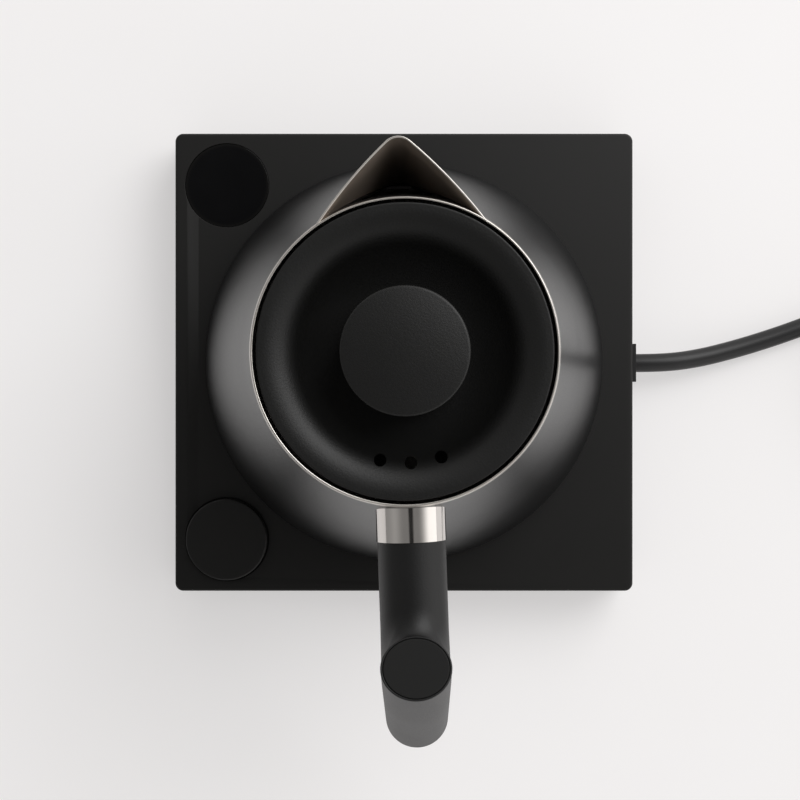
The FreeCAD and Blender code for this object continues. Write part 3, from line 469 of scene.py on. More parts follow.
# %% [markdown]
# ## Two finishes on one piece
# Sheet steel that is painted outside and bare inside is still one sheet. Two meshes laid on
# each other would flicker where they meet, so a piece gets a second finish for the faces that
# pass a test on where they lie or which way they look.

# %% Two finishes on one piece
def faces_of(made):
    """The middles of a piece's faces, in millimetres, and their normals."""
    found = []
    for name in ("center", "normal"):
        values = np.empty(3 * len(made.data.polygons))
        made.data.polygons.foreach_get(name, values)
        found.append(values.reshape(-1, 3))
    return found[0] / MM, found[1]


def second_finish(made, slot, chosen):
    """Gives the chosen faces another finish."""
    index = np.empty(len(chosen), np.int32)
    made.data.polygons.foreach_get("material_index", index)
    index[chosen] = len(made.data.materials)
    made.data.materials.append(paints[slot])
    made.data.polygons.foreach_set("material_index", index)
    print(made.name, "has", int(chosen.sum()), "faces of", slot)


# %% [markdown]
# ## Cutting
# Holes and flat ends are cut with a Boolean. It could stay as a modifier, but its result
# becomes the mesh at once, so that the cutter can go and the faces can be told apart. Most
# cutters are round bars.

# %% Cut a piece
def cut_by(made, cutter):
    """Takes a cutter out of a piece for good."""
    boolean = made.modifiers.new("hole", "BOOLEAN")
    boolean.operation, boolean.solver, boolean.object = "DIFFERENCE", "EXACT", cutter
    ready = made.evaluated_get(bpy.context.evaluated_depsgraph_get())
    mesh = bpy.data.meshes.new_from_object(ready)
    made.modifiers.clear()
    made.data = mesh
    bpy.data.objects.remove(cutter)
    mesh.set_sharp_from_angle(angle=SMOOTH_ANGLE)
    print(made.name, "after the cut:", len(mesh.polygons), "faces")


def cutter(points, faces):
    """A closed shape, in millimetres, that a Boolean takes away."""
    mesh = bpy.data.meshes.new("cutter")
    mesh.from_pydata((np.asarray(points).reshape(-1, 3) * MM).tolist(), [], faces)
    return placed("cutter", cleaned(mesh))


def bar_cutter(radius, low, high, steps, place):
    """A round bar between two heights; place sets it in the frame."""
    profile = np.array([(0, low), (radius, low), (radius, high), (0, high)])
    return cutter(place(spun(profile, steps)), grid_faces(4, steps, False, True).tolist())


print("cutting ready")

# %% [markdown]
# ## Hard pieces from the model
# Screws, feet, the base's casing and the parts inside already have their right shape in the
# model, but with knife edges and loose triangles. A copy is merged, its flat areas become
# single faces again, and a small bevel breaks the edges. That is the cheapest way to a
# believable hard part: the shape stays the model's and only its edges catch light.

# %% Copies with broken edges
HARD_ANGLE = math.radians(50)


def refined(node, edge, body, slot):
    """A merged copy of a model node whose sharp edges get a bevel that wide, in millimetres."""
    mesh = frame["nodes"][node].data.copy()
    mesh.name = node + "_refined"
    work = bmesh.new()
    work.from_mesh(mesh)
    bmesh.ops.remove_doubles(work, verts=work.verts, dist=2e-6)
    bmesh.ops.dissolve_limit(work, angle_limit=math.radians(1), verts=work.verts,
                             edges=work.edges)
    work.to_mesh(mesh)
    work.free()
    mesh.shade_smooth()
    mesh.set_sharp_from_angle(angle=SMOOTH_ANGLE)
    made = placed(mesh.name, mesh)
    bevel = made.modifiers.new("broken_edges", "BEVEL")
    bevel.width = edge * MM
    bevel.segments = 3
    bevel.limit_method = "ANGLE"
    bevel.angle_limit = HARD_ANGLE
    bevel.harden_normals = True
    return dressed(made, body, slot, (node,))


HARD = {
    "base": {
        "base_cover": (0.25, "base_plastic"), "base_floor": (0.2, "floor_plastic"),
        "base_feet": (0.4, "foot_rubber"), "base_screws": (0.2, "steel_screw"),
        "base_connector": (0.3, "connector_plastic"), "base_contacts": (0.08, "contact_brass"),
        "hold_switch": (0.2, "component_black"), "unit_switch": (0.2, "component_black"),
        "cord_gland": (0.7, "connector_plastic"), "coil_tie": (0.2, "tie_plastic"),
        "plug_pins": (0.45, "contact_brass"),
    },
    "hold_knob": {"hold_slider": (0.35, "dial_plastic")},
    "unit_knob": {"unit_slider": (0.35, "dial_plastic")},
    "coupling": {"connector_socket": (0.3, "connector_plastic"),
                 "jug_contacts": (0.1, "contact_brass")},
    "jug": {
        "heater_plate": (0.3, "plate_steel"), "temperature_probe": (0.5, "steel_screw"),
        "probe_seal": (0.3, "silicone"), "bottom_cover": (0.4, "floor_plastic"),
        "bottom_screws": (0.2, "steel_screw"),
    },
    "lid": {"lid_pan": (0.2, "bare_steel"), "lid_screw": (0.3, "steel_screw")},
    "lid_ring": {"lid_seal": (0.4, "silicone")},
}
for body, nodes in HARD.items():
    for node, (edge, slot) in nodes.items():
        refined(node, edge, body, slot)

pan = bpy.data.objects["lid_pan_refined"]
second_finish(pan, "component_black", faces_of(pan)[1][:, 2] > 0.5)

# %% [markdown]
# ## Display and dial
# Both sit near the left corners of the base. The display is a disc of dark glass a hair below
# the surface, the dial a low puck that stands in a shallow round recess and turns. They are
# turned profiles with fine rounds, because at this size the round is all that shows.

# %% Display and dial
CONTROL_PLACE = 66.5
DISPLAY_AT = (-CONTROL_PLACE, CONTROL_PLACE)
DIAL_AT = (-CONTROL_PLACE, -CONTROL_PLACE)
GLASS_RADIUS, GLASS_FOOT, GLASS_FACE = 15.75, 23.4, 24.7
DIAL_RADIUS, DIAL_BORE, DIAL_ROOF, DIAL_FOOT, DIAL_TOP = 15.2, 13.2, 26.4, 24.9, 28.4
turned("display_glass", [(0, GLASS_FOOT), (GLASS_RADIUS, GLASS_FOOT),
                         (GLASS_RADIUS, GLASS_FACE, 0.3), (0, GLASS_FACE)],
       "base", "display_gloss", lambda p: upright(p, spot=DISPLAY_AT), ("display_window",),
       closed=False)
turned("dial_puck", [(0, DIAL_ROOF), (DIAL_BORE, DIAL_ROOF), (DIAL_BORE, DIAL_FOOT, 0.2),
                     (DIAL_RADIUS, DIAL_FOOT, 0.2), (DIAL_RADIUS, DIAL_TOP, 0.7), (0, DIAL_TOP)],
       "dial", "dial_plastic", lambda p: upright(p, spot=DIAL_AT), ("control_dial",),
       closed=False)

# %% [markdown]
# ## Jug
# The jug is one steel sheet: a straight cone that narrows to the rim, with a round lower
# corner that folds in under the bottom. It is painted outside and bare inside, so the piece
# has two finishes, told apart by which way a face looks: towards the axis it is bare. A
# subdivided cylinder would look much the same, but a turned profile gives the exact cone, and
# a wall that is equally thin everywhere.

# %% Jug wall
RIM_HEIGHT, RIM_RADIUS, SHOULDER, BODY_RADIUS, WALL = 150.0, 45.3, 5.6, 74.0, 0.8
RIM_BAND, BODY_CORNER, BODY_LIP, LIP_WIDE = 2.8, 4.8, 0.8, 3.2
CORNER_STEPS, WALL_STEPS, FINE_ROUND = 10, 24, 256
LEAN = (BODY_RADIUS - RIM_RADIUS) / (RIM_HEIGHT - SHOULDER)
BAND_FOOT = RIM_HEIGHT - RIM_BAND


def wall_radius(height):
    """Outside of the jug's cone: it loses LEAN millimetres of radius for each one of height."""
    return RIM_RADIUS + LEAN * (RIM_HEIGHT - height)


corner_arc = np.linspace(-math.pi / 2, math.radians(-0.1), CORNER_STEPS)
heights = np.linspace(SHOULDER + 1, BAND_FOOT, WALL_STEPS)
outside = np.concatenate([
    np.stack([BODY_RADIUS - BODY_CORNER + BODY_CORNER * np.cos(corner_arc),
              BODY_LIP + BODY_CORNER + BODY_CORNER * np.sin(corner_arc)], -1),
    np.stack([wall_radius(heights), heights], -1),
])
inside = outside[::-1] - [WALL, 0]
low = slice(-CORNER_STEPS, None)
inside[low, 1] = np.maximum(inside[low, 1] + WALL * 0.9, BODY_LIP + WALL)
lip_in = BODY_RADIUS - BODY_CORNER - LIP_WIDE
wall_profile = np.concatenate([[(lip_in, BODY_LIP)], outside, inside, [(lip_in, BODY_LIP + WALL)]])
jug_wall = piece("jug_wall", on_jug(spun(wall_profile, FINE_ROUND)),
                 grid_faces(len(wall_profile), FINE_ROUND, True, True),
                 "jug", "jug_paint", ("vessel",))

# %% [markdown]
# ## Spout
# The spout is a folded sheet: two nearly flat sides that meet in a round keel, wide at the rim
# and shrinking into the wall below. At each height its outline is a line that starts at the
# keel and turns: quickly round the tip, then slowly along the side, until it meets the wall.
# Adding up the direction along that line gives its points, for every height at once. A cage
# of a few faces could be pulled to this shape by eye, but its sides would bulge.

# %% Spout surface
BEAK_FOOT, BEAK_REACH, BEAK_FOOT_REACH, BEAK_ROUND = 97.0, 63.2, 54.0, 5.4
TIP_SPREAD = (31.0, 48.0)  # half angles at the foot and at the rim, in degrees
ROOT_SPREAD = (21.0, 35.0)
SIDE_LONG, LONGEST = 34.0, 46.0


def beak_line(share, inset, reach, along):
    """Half of a level outline, from the keel at along = 0. Its direction starts square to the
    keel, turns to the tip's half angle on a circle, then eases to the root's half angle; the
    points are the running sum of the direction's sine and cosine."""
    tip = np.radians(TIP_SPREAD[0] + share * (TIP_SPREAD[1] - TIP_SPREAD[0]))
    root = np.radians(ROOT_SPREAD[0] + share * (ROOT_SPREAD[1] - ROOT_SPREAD[0]))
    bend = np.maximum(BEAK_ROUND - inset, 0.5)
    turn_end = bend * (math.pi / 2 - tip)
    angle = np.where(along < turn_end, math.pi / 2 - along / bend,
                     tip + (root - tip) * (along - turn_end) / SIDE_LONG)
    step = np.diff(along, axis=1)
    middle = (angle[:, 1:] + angle[:, :-1]) / 2
    start = np.zeros((len(along), 1))
    x = np.concatenate([start, np.cumsum(np.sin(middle) * step, 1)], 1)
    y = reach - inset - np.concatenate([start, np.cumsum(np.cos(middle) * step, 1)], 1)
    return x, y


def beak_surface(height, inset, target, columns=44):
    """The whole outline at each height, cut where it comes within a radius of the axis."""
    share = (height - BEAK_FOOT) / (RIM_HEIGHT - BEAK_FOOT)
    reach = BEAK_FOOT_REACH + share * (BEAK_REACH - BEAK_FOOT_REACH)
    column = [v[:, None] for v in (share, inset, reach)]
    trial = np.tile(np.linspace(0, LONGEST, 1200), (len(height), 1))
    x, y = beak_line(*column, trial)
    beyond = np.hypot(x, y) > target[:, None]
    last = np.maximum(beyond.sum(1) - 1, 1)
    end = trial[0, last]
    spread = np.linspace(0, 1, columns) ** 1.35
    x, y = beak_line(*column, end[:, None] * spread)
    z = np.broadcast_to(height[:, None], x.shape)
    right = np.stack([x, y, z], -1)
    left = right[:, :0:-1] * [-1, 1, 1]
    return np.concatenate([left, right], 1)


# %% [markdown]
# The sheet is that surface twice, an outside and an inside, joined over the top by a half
# round. It ends half way through the jug's wall, which hides its root.

# %% Spout piece
SPOUT_EDGE, BEAK_START, ROOT_DEPTH = 0.32, BEAK_FOOT + 2, 0.45
edge_height = RIM_HEIGHT - SPOUT_EDGE
lip = np.linspace(0, math.pi, 9)[1:-1]
up = np.linspace(BEAK_START, edge_height, 30)
level = np.concatenate([up, edge_height + SPOUT_EDGE * np.sin(lip), up[::-1]])
inset = np.concatenate([0 * up, SPOUT_EDGE * (1 - np.cos(lip)), 2 * SPOUT_EDGE + 0 * up])
beak = beak_surface(level, inset, wall_radius(level) - ROOT_DEPTH)
rows, columns = beak.shape[:2]
beak_faces = grid_faces(rows, columns, True).tolist()
beak_faces += [list(range(0, rows * columns, columns)),
               list(range(columns - 1, rows * columns, columns))]
spout = piece("spout_beak", on_jug(beak), beak_faces, "jug", "jug_paint", ("spout",))

# %% Spout: bare inside and edge
middle, normal = faces_of(spout)
on_edge = middle[:, 2] > BASE_TOP + edge_height - 0.1
second_finish(spout, "bare_steel", on_edge)
second_finish(spout, "dull_steel", (normal[:, 1] < 0) & ~on_edge)

# %% [markdown]
# ## Pouring hole
# Behind the spout the wall has a hole, so that water can leave. The real one is a sieve or a
# plain opening; a plain one is enough here, as it lies in the dark. The cutter is a block
# shaped like the spout's inside.

# %% Pouring hole
HOLE_INSET, HOLE_DEPTH = 1.6, 4.0
hole_level = np.array([112.0, 142.0])
hole = beak_surface(hole_level, np.full(2, HOLE_INSET), wall_radius(hole_level) - HOLE_DEPTH, 16)
cut_by(jug_wall, cutter(on_jug(hole), tube_faces(*hole.shape[:2])))
middle, normal = faces_of(jug_wall)
second_finish(jug_wall, "bare_steel", (middle[:, :2] * normal[:, :2]).sum(1) < -1e-3)

# %% [markdown]
# ## Rim
# The rim is the one bright line round the lid: a narrow band of bare steel with a rolled top.
# A bevelled circle would be round in section; a turned profile, tall and thin with two round
# upper corners, also keeps the flat outside that goes on from the cone.

# %% Rim
RIM_BORE_LOW, RIM_BORE, RIM_PROUD, RIM_ROUND = 44.9, 44.7, 0.04, 0.3
turned("bright_rim", [(RIM_BORE_LOW, BAND_FOOT), (wall_radius(BAND_FOOT), BAND_FOOT, 0.1),
                      (RIM_RADIUS + RIM_PROUD, RIM_HEIGHT, RIM_ROUND),
                      (RIM_BORE, RIM_HEIGHT, RIM_ROUND)],
       "jug", "bare_steel", on_jug, ("rim_ring",), steps=FINE_ROUND)

# %% [markdown]
# ## Collar
# A bright tube joins the handle to the jug. One end is square, the other follows the cone. So
# it is a profile along the arm's axis whose first rows are placed by the jug's wall: at each
# angle the tube starts where it meets the sheet. A cut cylinder would fit as well, but would
# leave long thin faces along the cone, and polished metal shows those.

# %% Collar surface
COLLAR_RADIUS, COLLAR_REACH, ARM_HEIGHT = 10.5, 56.4, 135.5
COLLAR_EDGE, COLLAR_BORE, COLLAR_BITE, ROUND = 0.35, 4.0, 0.4, 96
a = np.linspace(0, 2 * math.pi, ROUND, endpoint=False)
share = np.concatenate([np.linspace(0, 0.94, 8), np.ones(6), [1.0]])[:, None]
close = np.concatenate([np.zeros(8), np.linspace(0, math.pi / 2, 6), [math.pi / 2]])[:, None]
radius = COLLAR_RADIUS - COLLAR_EDGE * (1 - np.cos(close))
radius[-1] = COLLAR_BORE
x, z = radius * np.cos(a), ARM_HEIGHT + radius * np.sin(a)
start = np.sqrt((wall_radius(z) - COLLAR_BITE) ** 2 - x ** 2)
end = COLLAR_REACH - COLLAR_EDGE * (1 - np.sin(close)) * (close > 0)
y = -(start + (np.broadcast_to(end, start.shape) - start) * share)
y[-2:] = -COLLAR_REACH
piece("collar_tube", on_jug(np.stack([x, y, z], -1)), tube_faces(len(share), ROUND),
      "jug", "polished_steel", ("handle_collar",))

# %% [markdown]
# ## Handle
# The handle is one moulding: a level arm that flows into a raked grip. It is easiest to say
# where its surface is, rather than what its points are. In the plane of the handle, take the
# distance to the arm's axis and to the grip's axis, and a soft minimum of the two; with the
# sideways distance that makes a tube about both axes, with a fillet in the fork and no bulge
# at the sides. Two tubes, a Boolean and a bevel would be the usual way, but a bevel breaks
# where the fillet runs out at the top. A grid of cells finds the field's surface: each cell
# that it crosses gets one point, and a few steps down the slope of the field put the points
# exactly on it.

# %% Handle field
GRIP_RADIUS, ARM_RADIUS, RAKE, GRIP_LONG = 10.5, 10.3, math.radians(18), 91.5
GRIP_FOOT = np.array([0.0, -121.3, 68.0])
GRIP_AXIS = np.array([0.0, math.sin(RAKE), math.cos(RAKE)])
FORK_BLEND, ARM_STOP = 11.0, 6.0
CAP_LONG, RING_TALL = 2.2, 0.9
OVAL, BLEND_TALL, BLEND_SIDE, TAPER_LONG = 1.0, 5.5, 8.0, 16.0
FORK = GRIP_FOOT[1] + (ARM_HEIGHT - GRIP_FOOT[2]) * math.tan(RAKE)
EDGE_HEIGHT = GRIP_FOOT[2] + (GRIP_LONG - RING_TALL) * GRIP_AXIS[2] - GRIP_RADIUS * GRIP_AXIS[1]


def handle_field(p):
    """Distance to the handle's surface: the root of x squared and the soft distance to the two
    axes squared, less a radius that goes from the arm's to the grip's. The fillet in the fork
    shrinks to nothing at the height of the grip's edge, so the arm runs up to that edge, and on
    the grip's far side. Towards its top the grip loses a little depth: side' = (side - OVAL t)
    / (1 - OVAL t / R), with t from 0 at the grip's foot to 1 at its top."""
    off = p - GRIP_FOOT
    share = np.clip(off @ GRIP_AXIS / GRIP_LONG, 0, 1)
    side = ((off[..., 1] * GRIP_AXIS[2] - off[..., 2] * GRIP_AXIS[1] - OVAL * share)
            / (1 - OVAL * share / GRIP_RADIUS))
    to_grip = np.abs(side)
    below = np.clip((EDGE_HEIGHT - p[..., 2]) / BLEND_TALL, 1e-4, 1)
    blend = FORK_BLEND * np.sqrt(below) * np.clip(0.3 + side / BLEND_SIDE, 0.02, 1)
    past = np.maximum(FORK + ARM_STOP - p[..., 1], 0)
    to_arm = np.hypot(p[..., 2] - ARM_HEIGHT, past)
    near = np.clip(0.5 + (to_arm - to_grip) / (2 * blend), 0, 1)
    soft = to_arm + (to_grip - to_arm) * near - blend * near * (1 - near)
    taper = np.clip((FORK + TAPER_LONG - p[..., 1]) / TAPER_LONG, 0, 1)
    radius = ARM_RADIUS + (GRIP_RADIUS - ARM_RADIUS) * taper
    return np.sqrt(p[..., 0] ** 2 + np.maximum(soft, 0) ** 2) - radius


print("field at the grip's foot:", round(float(handle_field(GRIP_FOOT)), 2))

# %% Surface of a field
def net(field, low, high, step):
    """Points and quads of the surface where a field is zero. Each cell with a crossed edge gets
    the mean of its crossings; each crossed edge gives a quad of its four cells."""
    axes = [np.arange(a, b, step) for a, b in zip(low, high)]
    grid = np.stack(np.meshgrid(*axes, indexing="ij"), -1)
    value = field(grid)
    cells = np.array(value.shape) - 1
    total, count, quads = np.zeros((cells.prod(), 3)), np.zeros(cells.prod()), []
    for axis in range(3):
        first, second = np.moveaxis(value, axis, 0)[:-1], np.moveaxis(value, axis, 0)[1:]
        where = np.argwhere((first < 0) != (second < 0))
        a, b = first[tuple(where.T)], second[tuple(where.T)]
        share = a / (a - b)
        others = [n for n in range(3) if n != axis]
        corner = np.empty_like(where)
        corner[:, [axis, *others]] = where
        point = grid[tuple(corner.T)].copy()
        point[:, axis] += share * step
        inner = ((corner[:, others] > 0) & (corner[:, others] < cells[others])).all(1)
        corner, point = corner[inner], point[inner]
        around = []
        for back in ((0, 0), (1, 0), (1, 1), (0, 1)):
            cell = corner.copy()
            cell[:, others] -= back
            around.append(np.ravel_multi_index(tuple(cell.T), cells))
            np.add.at(total, around[-1], point)
            np.add.at(count, around[-1], 1)
        quads.append(np.stack(around, 1))
    used = count > 0
    number = np.cumsum(used) - 1
    return total[used] / count[used, None], number[np.concatenate(quads)]


def settled(field, points, rounds=4, tiny=0.01):
    """Moves points onto the surface, along the slope of the field measured over a tiny step."""
    for _ in range(rounds):
        here = field(points)
        slope = np.stack([(field(points + tiny * e) - here) / tiny for e in np.eye(3)], -1)
        points = points - slope * (here / np.maximum((slope ** 2).sum(-1), 1e-6))[:, None]
    return points


CELL = 0.85
points, faces = net(handle_field, (-12, -150, 40), (12.5, -46, 176), CELL)
points = settled(handle_field, points)
print("handle points:", len(points))

# %% [markdown]
# The field runs on past both ends of the grip and past the arm's start. Flat cuts give clean
# ends, and each is closed with one face. A cut at the height of the grip's top would graze the
# arm as well, so the grip is left long there, and a round bar on its axis takes off the rest.

# %% Handle ends
work = bmesh.new()
draft = bpy.data.meshes.new("handle_body")
draft.from_pydata(points.tolist(), [], faces.tolist())
work.from_mesh(draft)
bmesh.ops.recalc_face_normals(work, faces=work.faces)
LEFT_LONG = 108
bottom, top = GRIP_FOOT + GRIP_AXIS * CAP_LONG, GRIP_FOOT + GRIP_AXIS * LEFT_LONG
arm_start = np.array([0, -COLLAR_REACH, ARM_HEIGHT])
for spot, normal in ((bottom, -GRIP_AXIS), (top, GRIP_AXIS), (arm_start, np.array([0, 1, 0]))):
    geometry = work.verts[:] + work.edges[:] + work.faces[:]
    cut = bmesh.ops.bisect_plane(work, geom=geometry, plane_co=spot, plane_no=normal,
                                 clear_outer=True, dist=1e-4)
    open_edges = [e for e in cut["geom_cut"] if isinstance(e, bmesh.types.BMEdge)]
    bmesh.ops.edgenet_fill(work, edges=open_edges)
work.to_mesh(draft)
work.free()
corners = np.empty(3 * len(draft.vertices))
draft.vertices.foreach_get("co", corners)
corners = corners.reshape(-1, 3)
handle_body = piece("handle_body", on_jug(corners), [list(f.vertices) for f in draft.polygons],
                    "jug", "grip_plastic", ("handle",))

# %% Grip's top
def on_grip(p):
    """Height along the grip's axis, and sideways square to it, with the grip's lost depth."""
    along = p[..., 2]
    share = np.clip(along / GRIP_LONG, 0, 1)
    side = p[..., 1] * (1 - OVAL * share / GRIP_RADIUS) + OVAL * share
    y = GRIP_FOOT[1] + along * GRIP_AXIS[1] + side * GRIP_AXIS[2]
    z = GRIP_FOOT[2] + along * GRIP_AXIS[2] - side * GRIP_AXIS[1]
    return on_jug(np.stack([p[..., 0], y, z], -1))


BAR_RADIUS, BAR_TOP = 14, 112
cut_by(handle_body, bar_cutter(BAR_RADIUS, GRIP_LONG - RING_TALL, BAR_TOP, 64, on_grip))

# %% [markdown]
# Three turned pieces finish the grip: a thin ring at its top, a thumb disc inside the ring,
# and an end cap below, parted from the grip by a fine groove. They are turned about the
# grip's own raked axis. The disc's face stays plain.

# %% Grip ends
DISC_RADIUS, DISC_FOOT, RING_BORE, RING_DEEP, GROOVE = 9.8, 89.5, 9.86, 1.6, 0.05
turned("grip_ring", [(RING_BORE, GRIP_LONG - RING_DEEP), (GRIP_RADIUS, GRIP_LONG - RING_DEEP),
                     (GRIP_RADIUS, GRIP_LONG, 0.35), (RING_BORE, GRIP_LONG, 0.25)],
       "jug", "grip_plastic", on_grip, steps=96)
thumb_disc = turned("thumb_disc", [(0, DISC_FOOT), (DISC_RADIUS, DISC_FOOT),
                                   (DISC_RADIUS, GRIP_LONG, 0.35), (0, GRIP_LONG)],
                    "jug", "dial_plastic", on_grip, ("thumb_rest",), steps=96, closed=False)
thumb_disc.data.materials[0] = paints["disc_plastic"]
turned("grip_cap", [(0, 0), (GRIP_RADIUS, 0, 1.1), (GRIP_RADIUS, CAP_LONG - 0.35, 0.1),
                    (GRIP_RADIUS - 0.35, CAP_LONG - GROOVE), (0, CAP_LONG - GROOVE)],
       "jug", "grip_plastic", on_grip, ("grip_end_cap",), steps=96, closed=False)

# %% [markdown]
# ## Lid
# The lid is a shallow dish with a level lip. From the lip its side bends down on one arc, and
# a second arc, hollow this time, carries it to the floor; both meet at the same slope, so the
# side has no crease. Rings under a Subdivision Surface would be soft too, but two arcs have a
# known slope and radius. Its knob is a plain round column, nearly flat on top. Three steam
# holes go through the side near the handle.

# %% Lid dish
LID_RADIUS, LIP_RADIUS, LIP_BEND, LID_EDGE, LID_SHEET = 43.8, 42.2, 13.0, 2.4, 2.2
DISH_SLOPE, DISH_FLOOR = math.radians(52), 136.0
fold_height = RIM_HEIGHT - LIP_BEND * (1 - math.cos(DISH_SLOPE))
DISH_SWEEP = (fold_height - DISH_FLOOR) / (1 - math.cos(DISH_SLOPE))
BEND_CENTRE = np.array([LIP_RADIUS, RIM_HEIGHT - LIP_BEND])
DISH_CENTRE = np.array([LIP_RADIUS - (LIP_BEND + DISH_SWEEP) * math.sin(DISH_SLOPE),
                        DISH_FLOOR + DISH_SWEEP])


def dish_line(depth, steps=24):
    """The dish's profile at a depth in its sheet, from the lip to the floor: centre + R (-sin t,
    cos t) on the bend, then centre + R (sin t, -cos t) on the hollow, back down to t = 0."""
    t = np.linspace(0, DISH_SLOPE, steps)[:, None]
    way = np.concatenate([np.sin(t), -np.cos(t)], 1)
    bend = BEND_CENTRE - (LIP_BEND - depth) * way
    hollow = DISH_CENTRE + (DISH_SWEEP + depth) * way[::-1]
    return np.concatenate([bend, hollow[1:]])


over, under = dish_line(0), dish_line(LID_SHEET)[::-1]
lip_line = rounded([under[-1], (LID_RADIUS, RIM_HEIGHT - LID_EDGE, 0.1),
                    (LID_RADIUS, RIM_HEIGHT, 0.5), over[0]], False)
bowl = np.concatenate([[(0, DISH_FLOOR - LID_SHEET)], under[:-1], lip_line, over[1:],
                       [(0, DISH_FLOOR)]])
lid_bowl = piece("lid_bowl", on_lid(spun(bowl, FINE_ROUND)),
                 grid_faces(len(bowl), FINE_ROUND, False, True),
                 "lid", "lid_plastic", ("lid_shell",))

# %% Steam holes
VENT_RADIUS, VENT_CIRCLE, VENT_STEP = 1.85, 32.8, 16
VENT_LOW, VENT_HIGH = 120.0, 160.0
for step in (-1, 0, 1):
    way = math.radians(VENT_STEP * step)
    spot = (VENT_CIRCLE * math.sin(way), -VENT_CIRCLE * math.cos(way))
    cut_by(lid_bowl, bar_cutter(VENT_RADIUS, VENT_LOW, VENT_HIGH, 40,
                                lambda p: on_lid(upright(p, spot=spot))))

# %% Lid knob
# Its top rises by a hair towards the middle, so it isn't a dead flat mirror.
KNOB_RADIUS, KNOB_TOP, KNOB_CROWN = 19.0, 159.0, 1.5
crown = [(r, KNOB_TOP - KNOB_CROWN * (r / KNOB_RADIUS) ** 2) for r in np.linspace(16.5, 0, 12)]
turned("lid_column", [(0, DISH_FLOOR), (KNOB_RADIUS, DISH_FLOOR),
                      (KNOB_RADIUS, KNOB_TOP - KNOB_CROWN, 0.8), *crown],
       "lid", "lid_plastic", on_lid, ("lid_knob",), steps=192, closed=False)

# %% [markdown]
# ## Plug
# At its far end the lead runs through a tapered, ribbed sleeve into a moulded plug. The sleeve
# is a turned profile with grooves; the plug is a rounded block whose section changes along
# its length: a superellipse, rounder than a box and squarer than an ellipse.

# %% Plug sleeve
PLUG_X, PLUG_HEIGHT, SLEEVE_START, SLEEVE_LONG, PLUG_LONG = 241.0, 9.0, -62.0, 20.0, 30.0
RIB_DEPTH, RIB_PITCH = 0.45, 3.4


def along_plug(p):
    """Height in the profile becomes distance towards -Y from the sleeve's start."""
    return np.stack([p[..., 0] + PLUG_X, SLEEVE_START - p[..., 2], p[..., 1] + PLUG_HEIGHT], -1)


run = np.linspace(0, SLEEVE_LONG, 161)
wave = np.clip(np.cos(run * 2 * math.pi / RIB_PITCH) * 2 - 0.6, 0, 1)
ribs = RIB_DEPTH * wave * (run > 2.2) * (run < 18)
sleeve = np.stack([4.4 + 1.8 * run / SLEEVE_LONG - ribs, run], -1)
sleeve = np.concatenate([[(0, 0), (4.1, 0)], sleeve[1:], [(0, SLEEVE_LONG)]])
piece("plug_sleeve", along_plug(spun(sleeve, 64)), grid_faces(len(sleeve), 64, False, True),
      "base", "plug_plastic", ("plug_relief",))

# %% Plug body
long = np.linspace(0, 1, 60)[:, None]
turn = np.linspace(0, 2 * math.pi, ROUND, endpoint=False)
nose = np.clip(long / 0.12, 0, 1)
tail = np.clip((1 - long) / 0.05, 0, 1)
taper = np.sqrt(1 - (1 - nose) ** 2) * np.sqrt(1 - 0.35 * (1 - tail) ** 2)
half_wide = (9.0 + 3.5 * np.clip(long * 1.7, 0, 1) ** 1.5) * taper
half_tall = (8.0 + 1.0 * np.clip(long * 1.7, 0, 1)) * taper
power = 2 / 4.2  # 4.2 is the superellipse's exponent; 2 would be an ellipse
x = half_wide * np.sign(np.cos(turn)) * np.abs(np.cos(turn)) ** power
z = half_tall * np.sign(np.sin(turn)) * np.abs(np.sin(turn)) ** power
y = SLEEVE_START - SLEEVE_LONG - PLUG_LONG * long + 0 * x
piece("plug_block", np.stack([x + PLUG_X, y, z + PLUG_HEIGHT], -1), tube_faces(len(long), ROUND),
      "base", "plug_plastic", ("plug_body",))

# %% [markdown]
# ## What is inside
# The parts inside the base and under the jug's floor keep the model's own meshes, since finer
# ones would cost time and show nothing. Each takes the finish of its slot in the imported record.

# %% Finishes of the inner parts
for part in frame["record"]["subparts"]:
    made = frame["nodes"][part["node"]]
    if not made.hide_render:
        made.data.materials.clear()
        made.data.materials.append(paints[part["material_slot"]])
        print(part["node"], "takes", part["material_slot"])

# %% [markdown]
# ## Floor and light
# The floor is a wide pale sheet. Where it is seen, straight or in a shiny surface, part of it
# glows, which keeps it pale without more light on the kettle. A large soft lamp at the upper
# right is the main light and lays a long faint shadow to the lower left. Black surfaces show
# what they mirror, so the sky is dim straight above and brighter towards the horizon, as in a
# room with pale walls. Where the viewer stands it is darker still, which gives polished metal
# its one dark line.

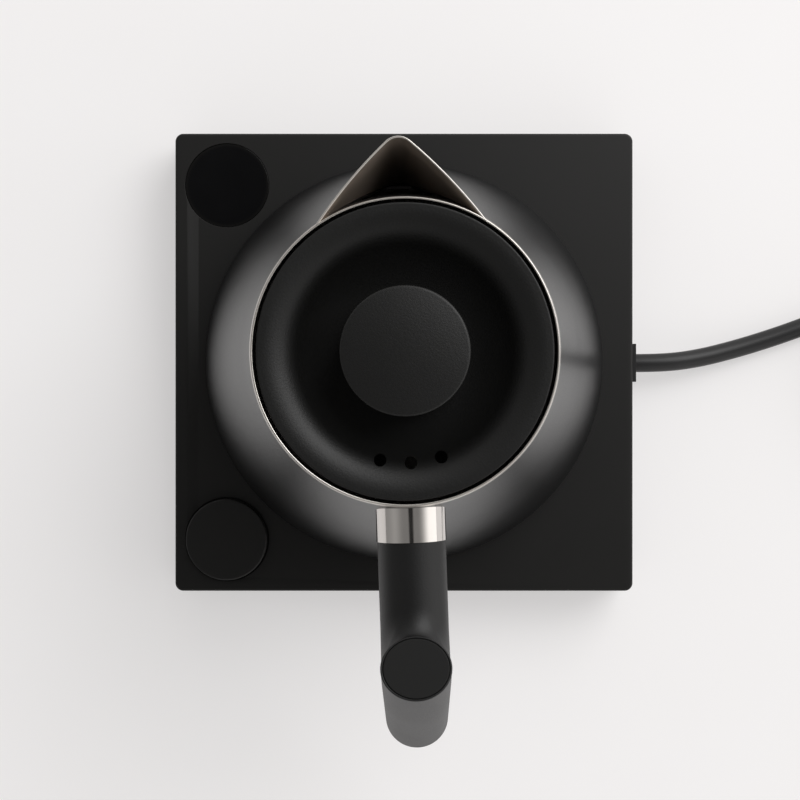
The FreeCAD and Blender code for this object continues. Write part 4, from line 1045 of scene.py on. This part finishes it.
# %% Floor
FLOOR_GLOW, FLOOR_HALF = 0.45, 4
floor_mesh = bpy.data.meshes.new("floor")
floor_mesh.from_pydata([(FLOOR_HALF * x, FLOOR_HALF * y, 0)
                        for x, y in ((-1, -1), (1, -1), (1, 1), (-1, 1))], [], [(0, 1, 2, 3)])
floor = placed("floor", floor_mesh)
table = Finish("pale_table")
table.set(Base_Color=table.blend(table.noise(60, 3.0), (0.87, 0.85, 0.845), (0.89, 0.88, 0.88)),
          Roughness=0.7)
glow = table.node("ShaderNodeEmission", Color=(1.0, 0.985, 0.985, 1), Strength=1.0)
seen, mirrored, through = (table.node("ShaderNodeLightPath", out=f"Is {kind} Ray")
                           for kind in ("Camera", "Glossy", "Transmission"))
mixed = table.node("ShaderNodeMixShader", Fac=(seen + mirrored + through) * FLOOR_GLOW,
                   sockets={1: Link(table.tree, table.shader.outputs[0]), 2: glow})
join(table.tree, table.tree.nodes["Material Output"].inputs["Surface"], mixed)
floor_mesh.materials.append(table.material)
print("floor side (m):", 2 * FLOOR_HALF)

# %% Lamps
def lamp(name, place, target, size, power):
    """A square soft lamp that faces a target."""
    data = bpy.data.lights.new(name, "AREA")
    data.shape, data.size, data.energy = "SQUARE", size, power
    made = placed(name, data)
    made.location = place
    aim = np.array(target, float) - place
    made.rotation_euler = (math.acos(-aim[2] / np.hypot(np.hypot(*aim[:2]), aim[2])), 0,
                           math.atan2(-aim[0], aim[1]))
    return made


key = lamp("key", (1.05, 1.05, 1.6), (0, 0, 0.05), 1.5, 27)
print("key lamp (W):", key.data.energy)

# %% World
CEILING, WALLS, EAST_SIDE, NORTH_SIDE, VIEWER = 0.24, 0.72, 0.62, 0.2, 0.9
world = bpy.data.worlds.new("studio")
world.use_nodes = True
sky = Nodes(world.node_tree)
direction = sky.node("ShaderNodeTexCoord", out="Generated")
parts = sky.node("ShaderNodeSeparateXYZ", sockets={0: direction}).socket.node
east, north, rise = (Link(sky.tree, socket) for socket in parts.outputs)


def band(first, last):
    """Goes from 0 to 1 as the height of the view's direction goes from first to last."""
    return sky.node("ShaderNodeMapRange", {"interpolation_type": "SMOOTHSTEP"}, Value=rise,
                    From_Min=first, From_Max=last)


walls = band(0.93, 0.45) * (WALLS + east * EAST_SIDE + north * NORTH_SIDE)
backdrop = sky.tree.nodes["Background"]
backdrop.inputs["Color"].default_value = (1.0, 0.985, 0.97, 1)
join(sky.tree, backdrop.inputs["Strength"],
     (walls + CEILING) * (1 - band(0.984, 0.995) * VIEWER))
print("sky nodes:", len(sky.tree.nodes))
bpy.context.scene.world = world
bpy.context.scene.view_settings.view_transform = "Standard"
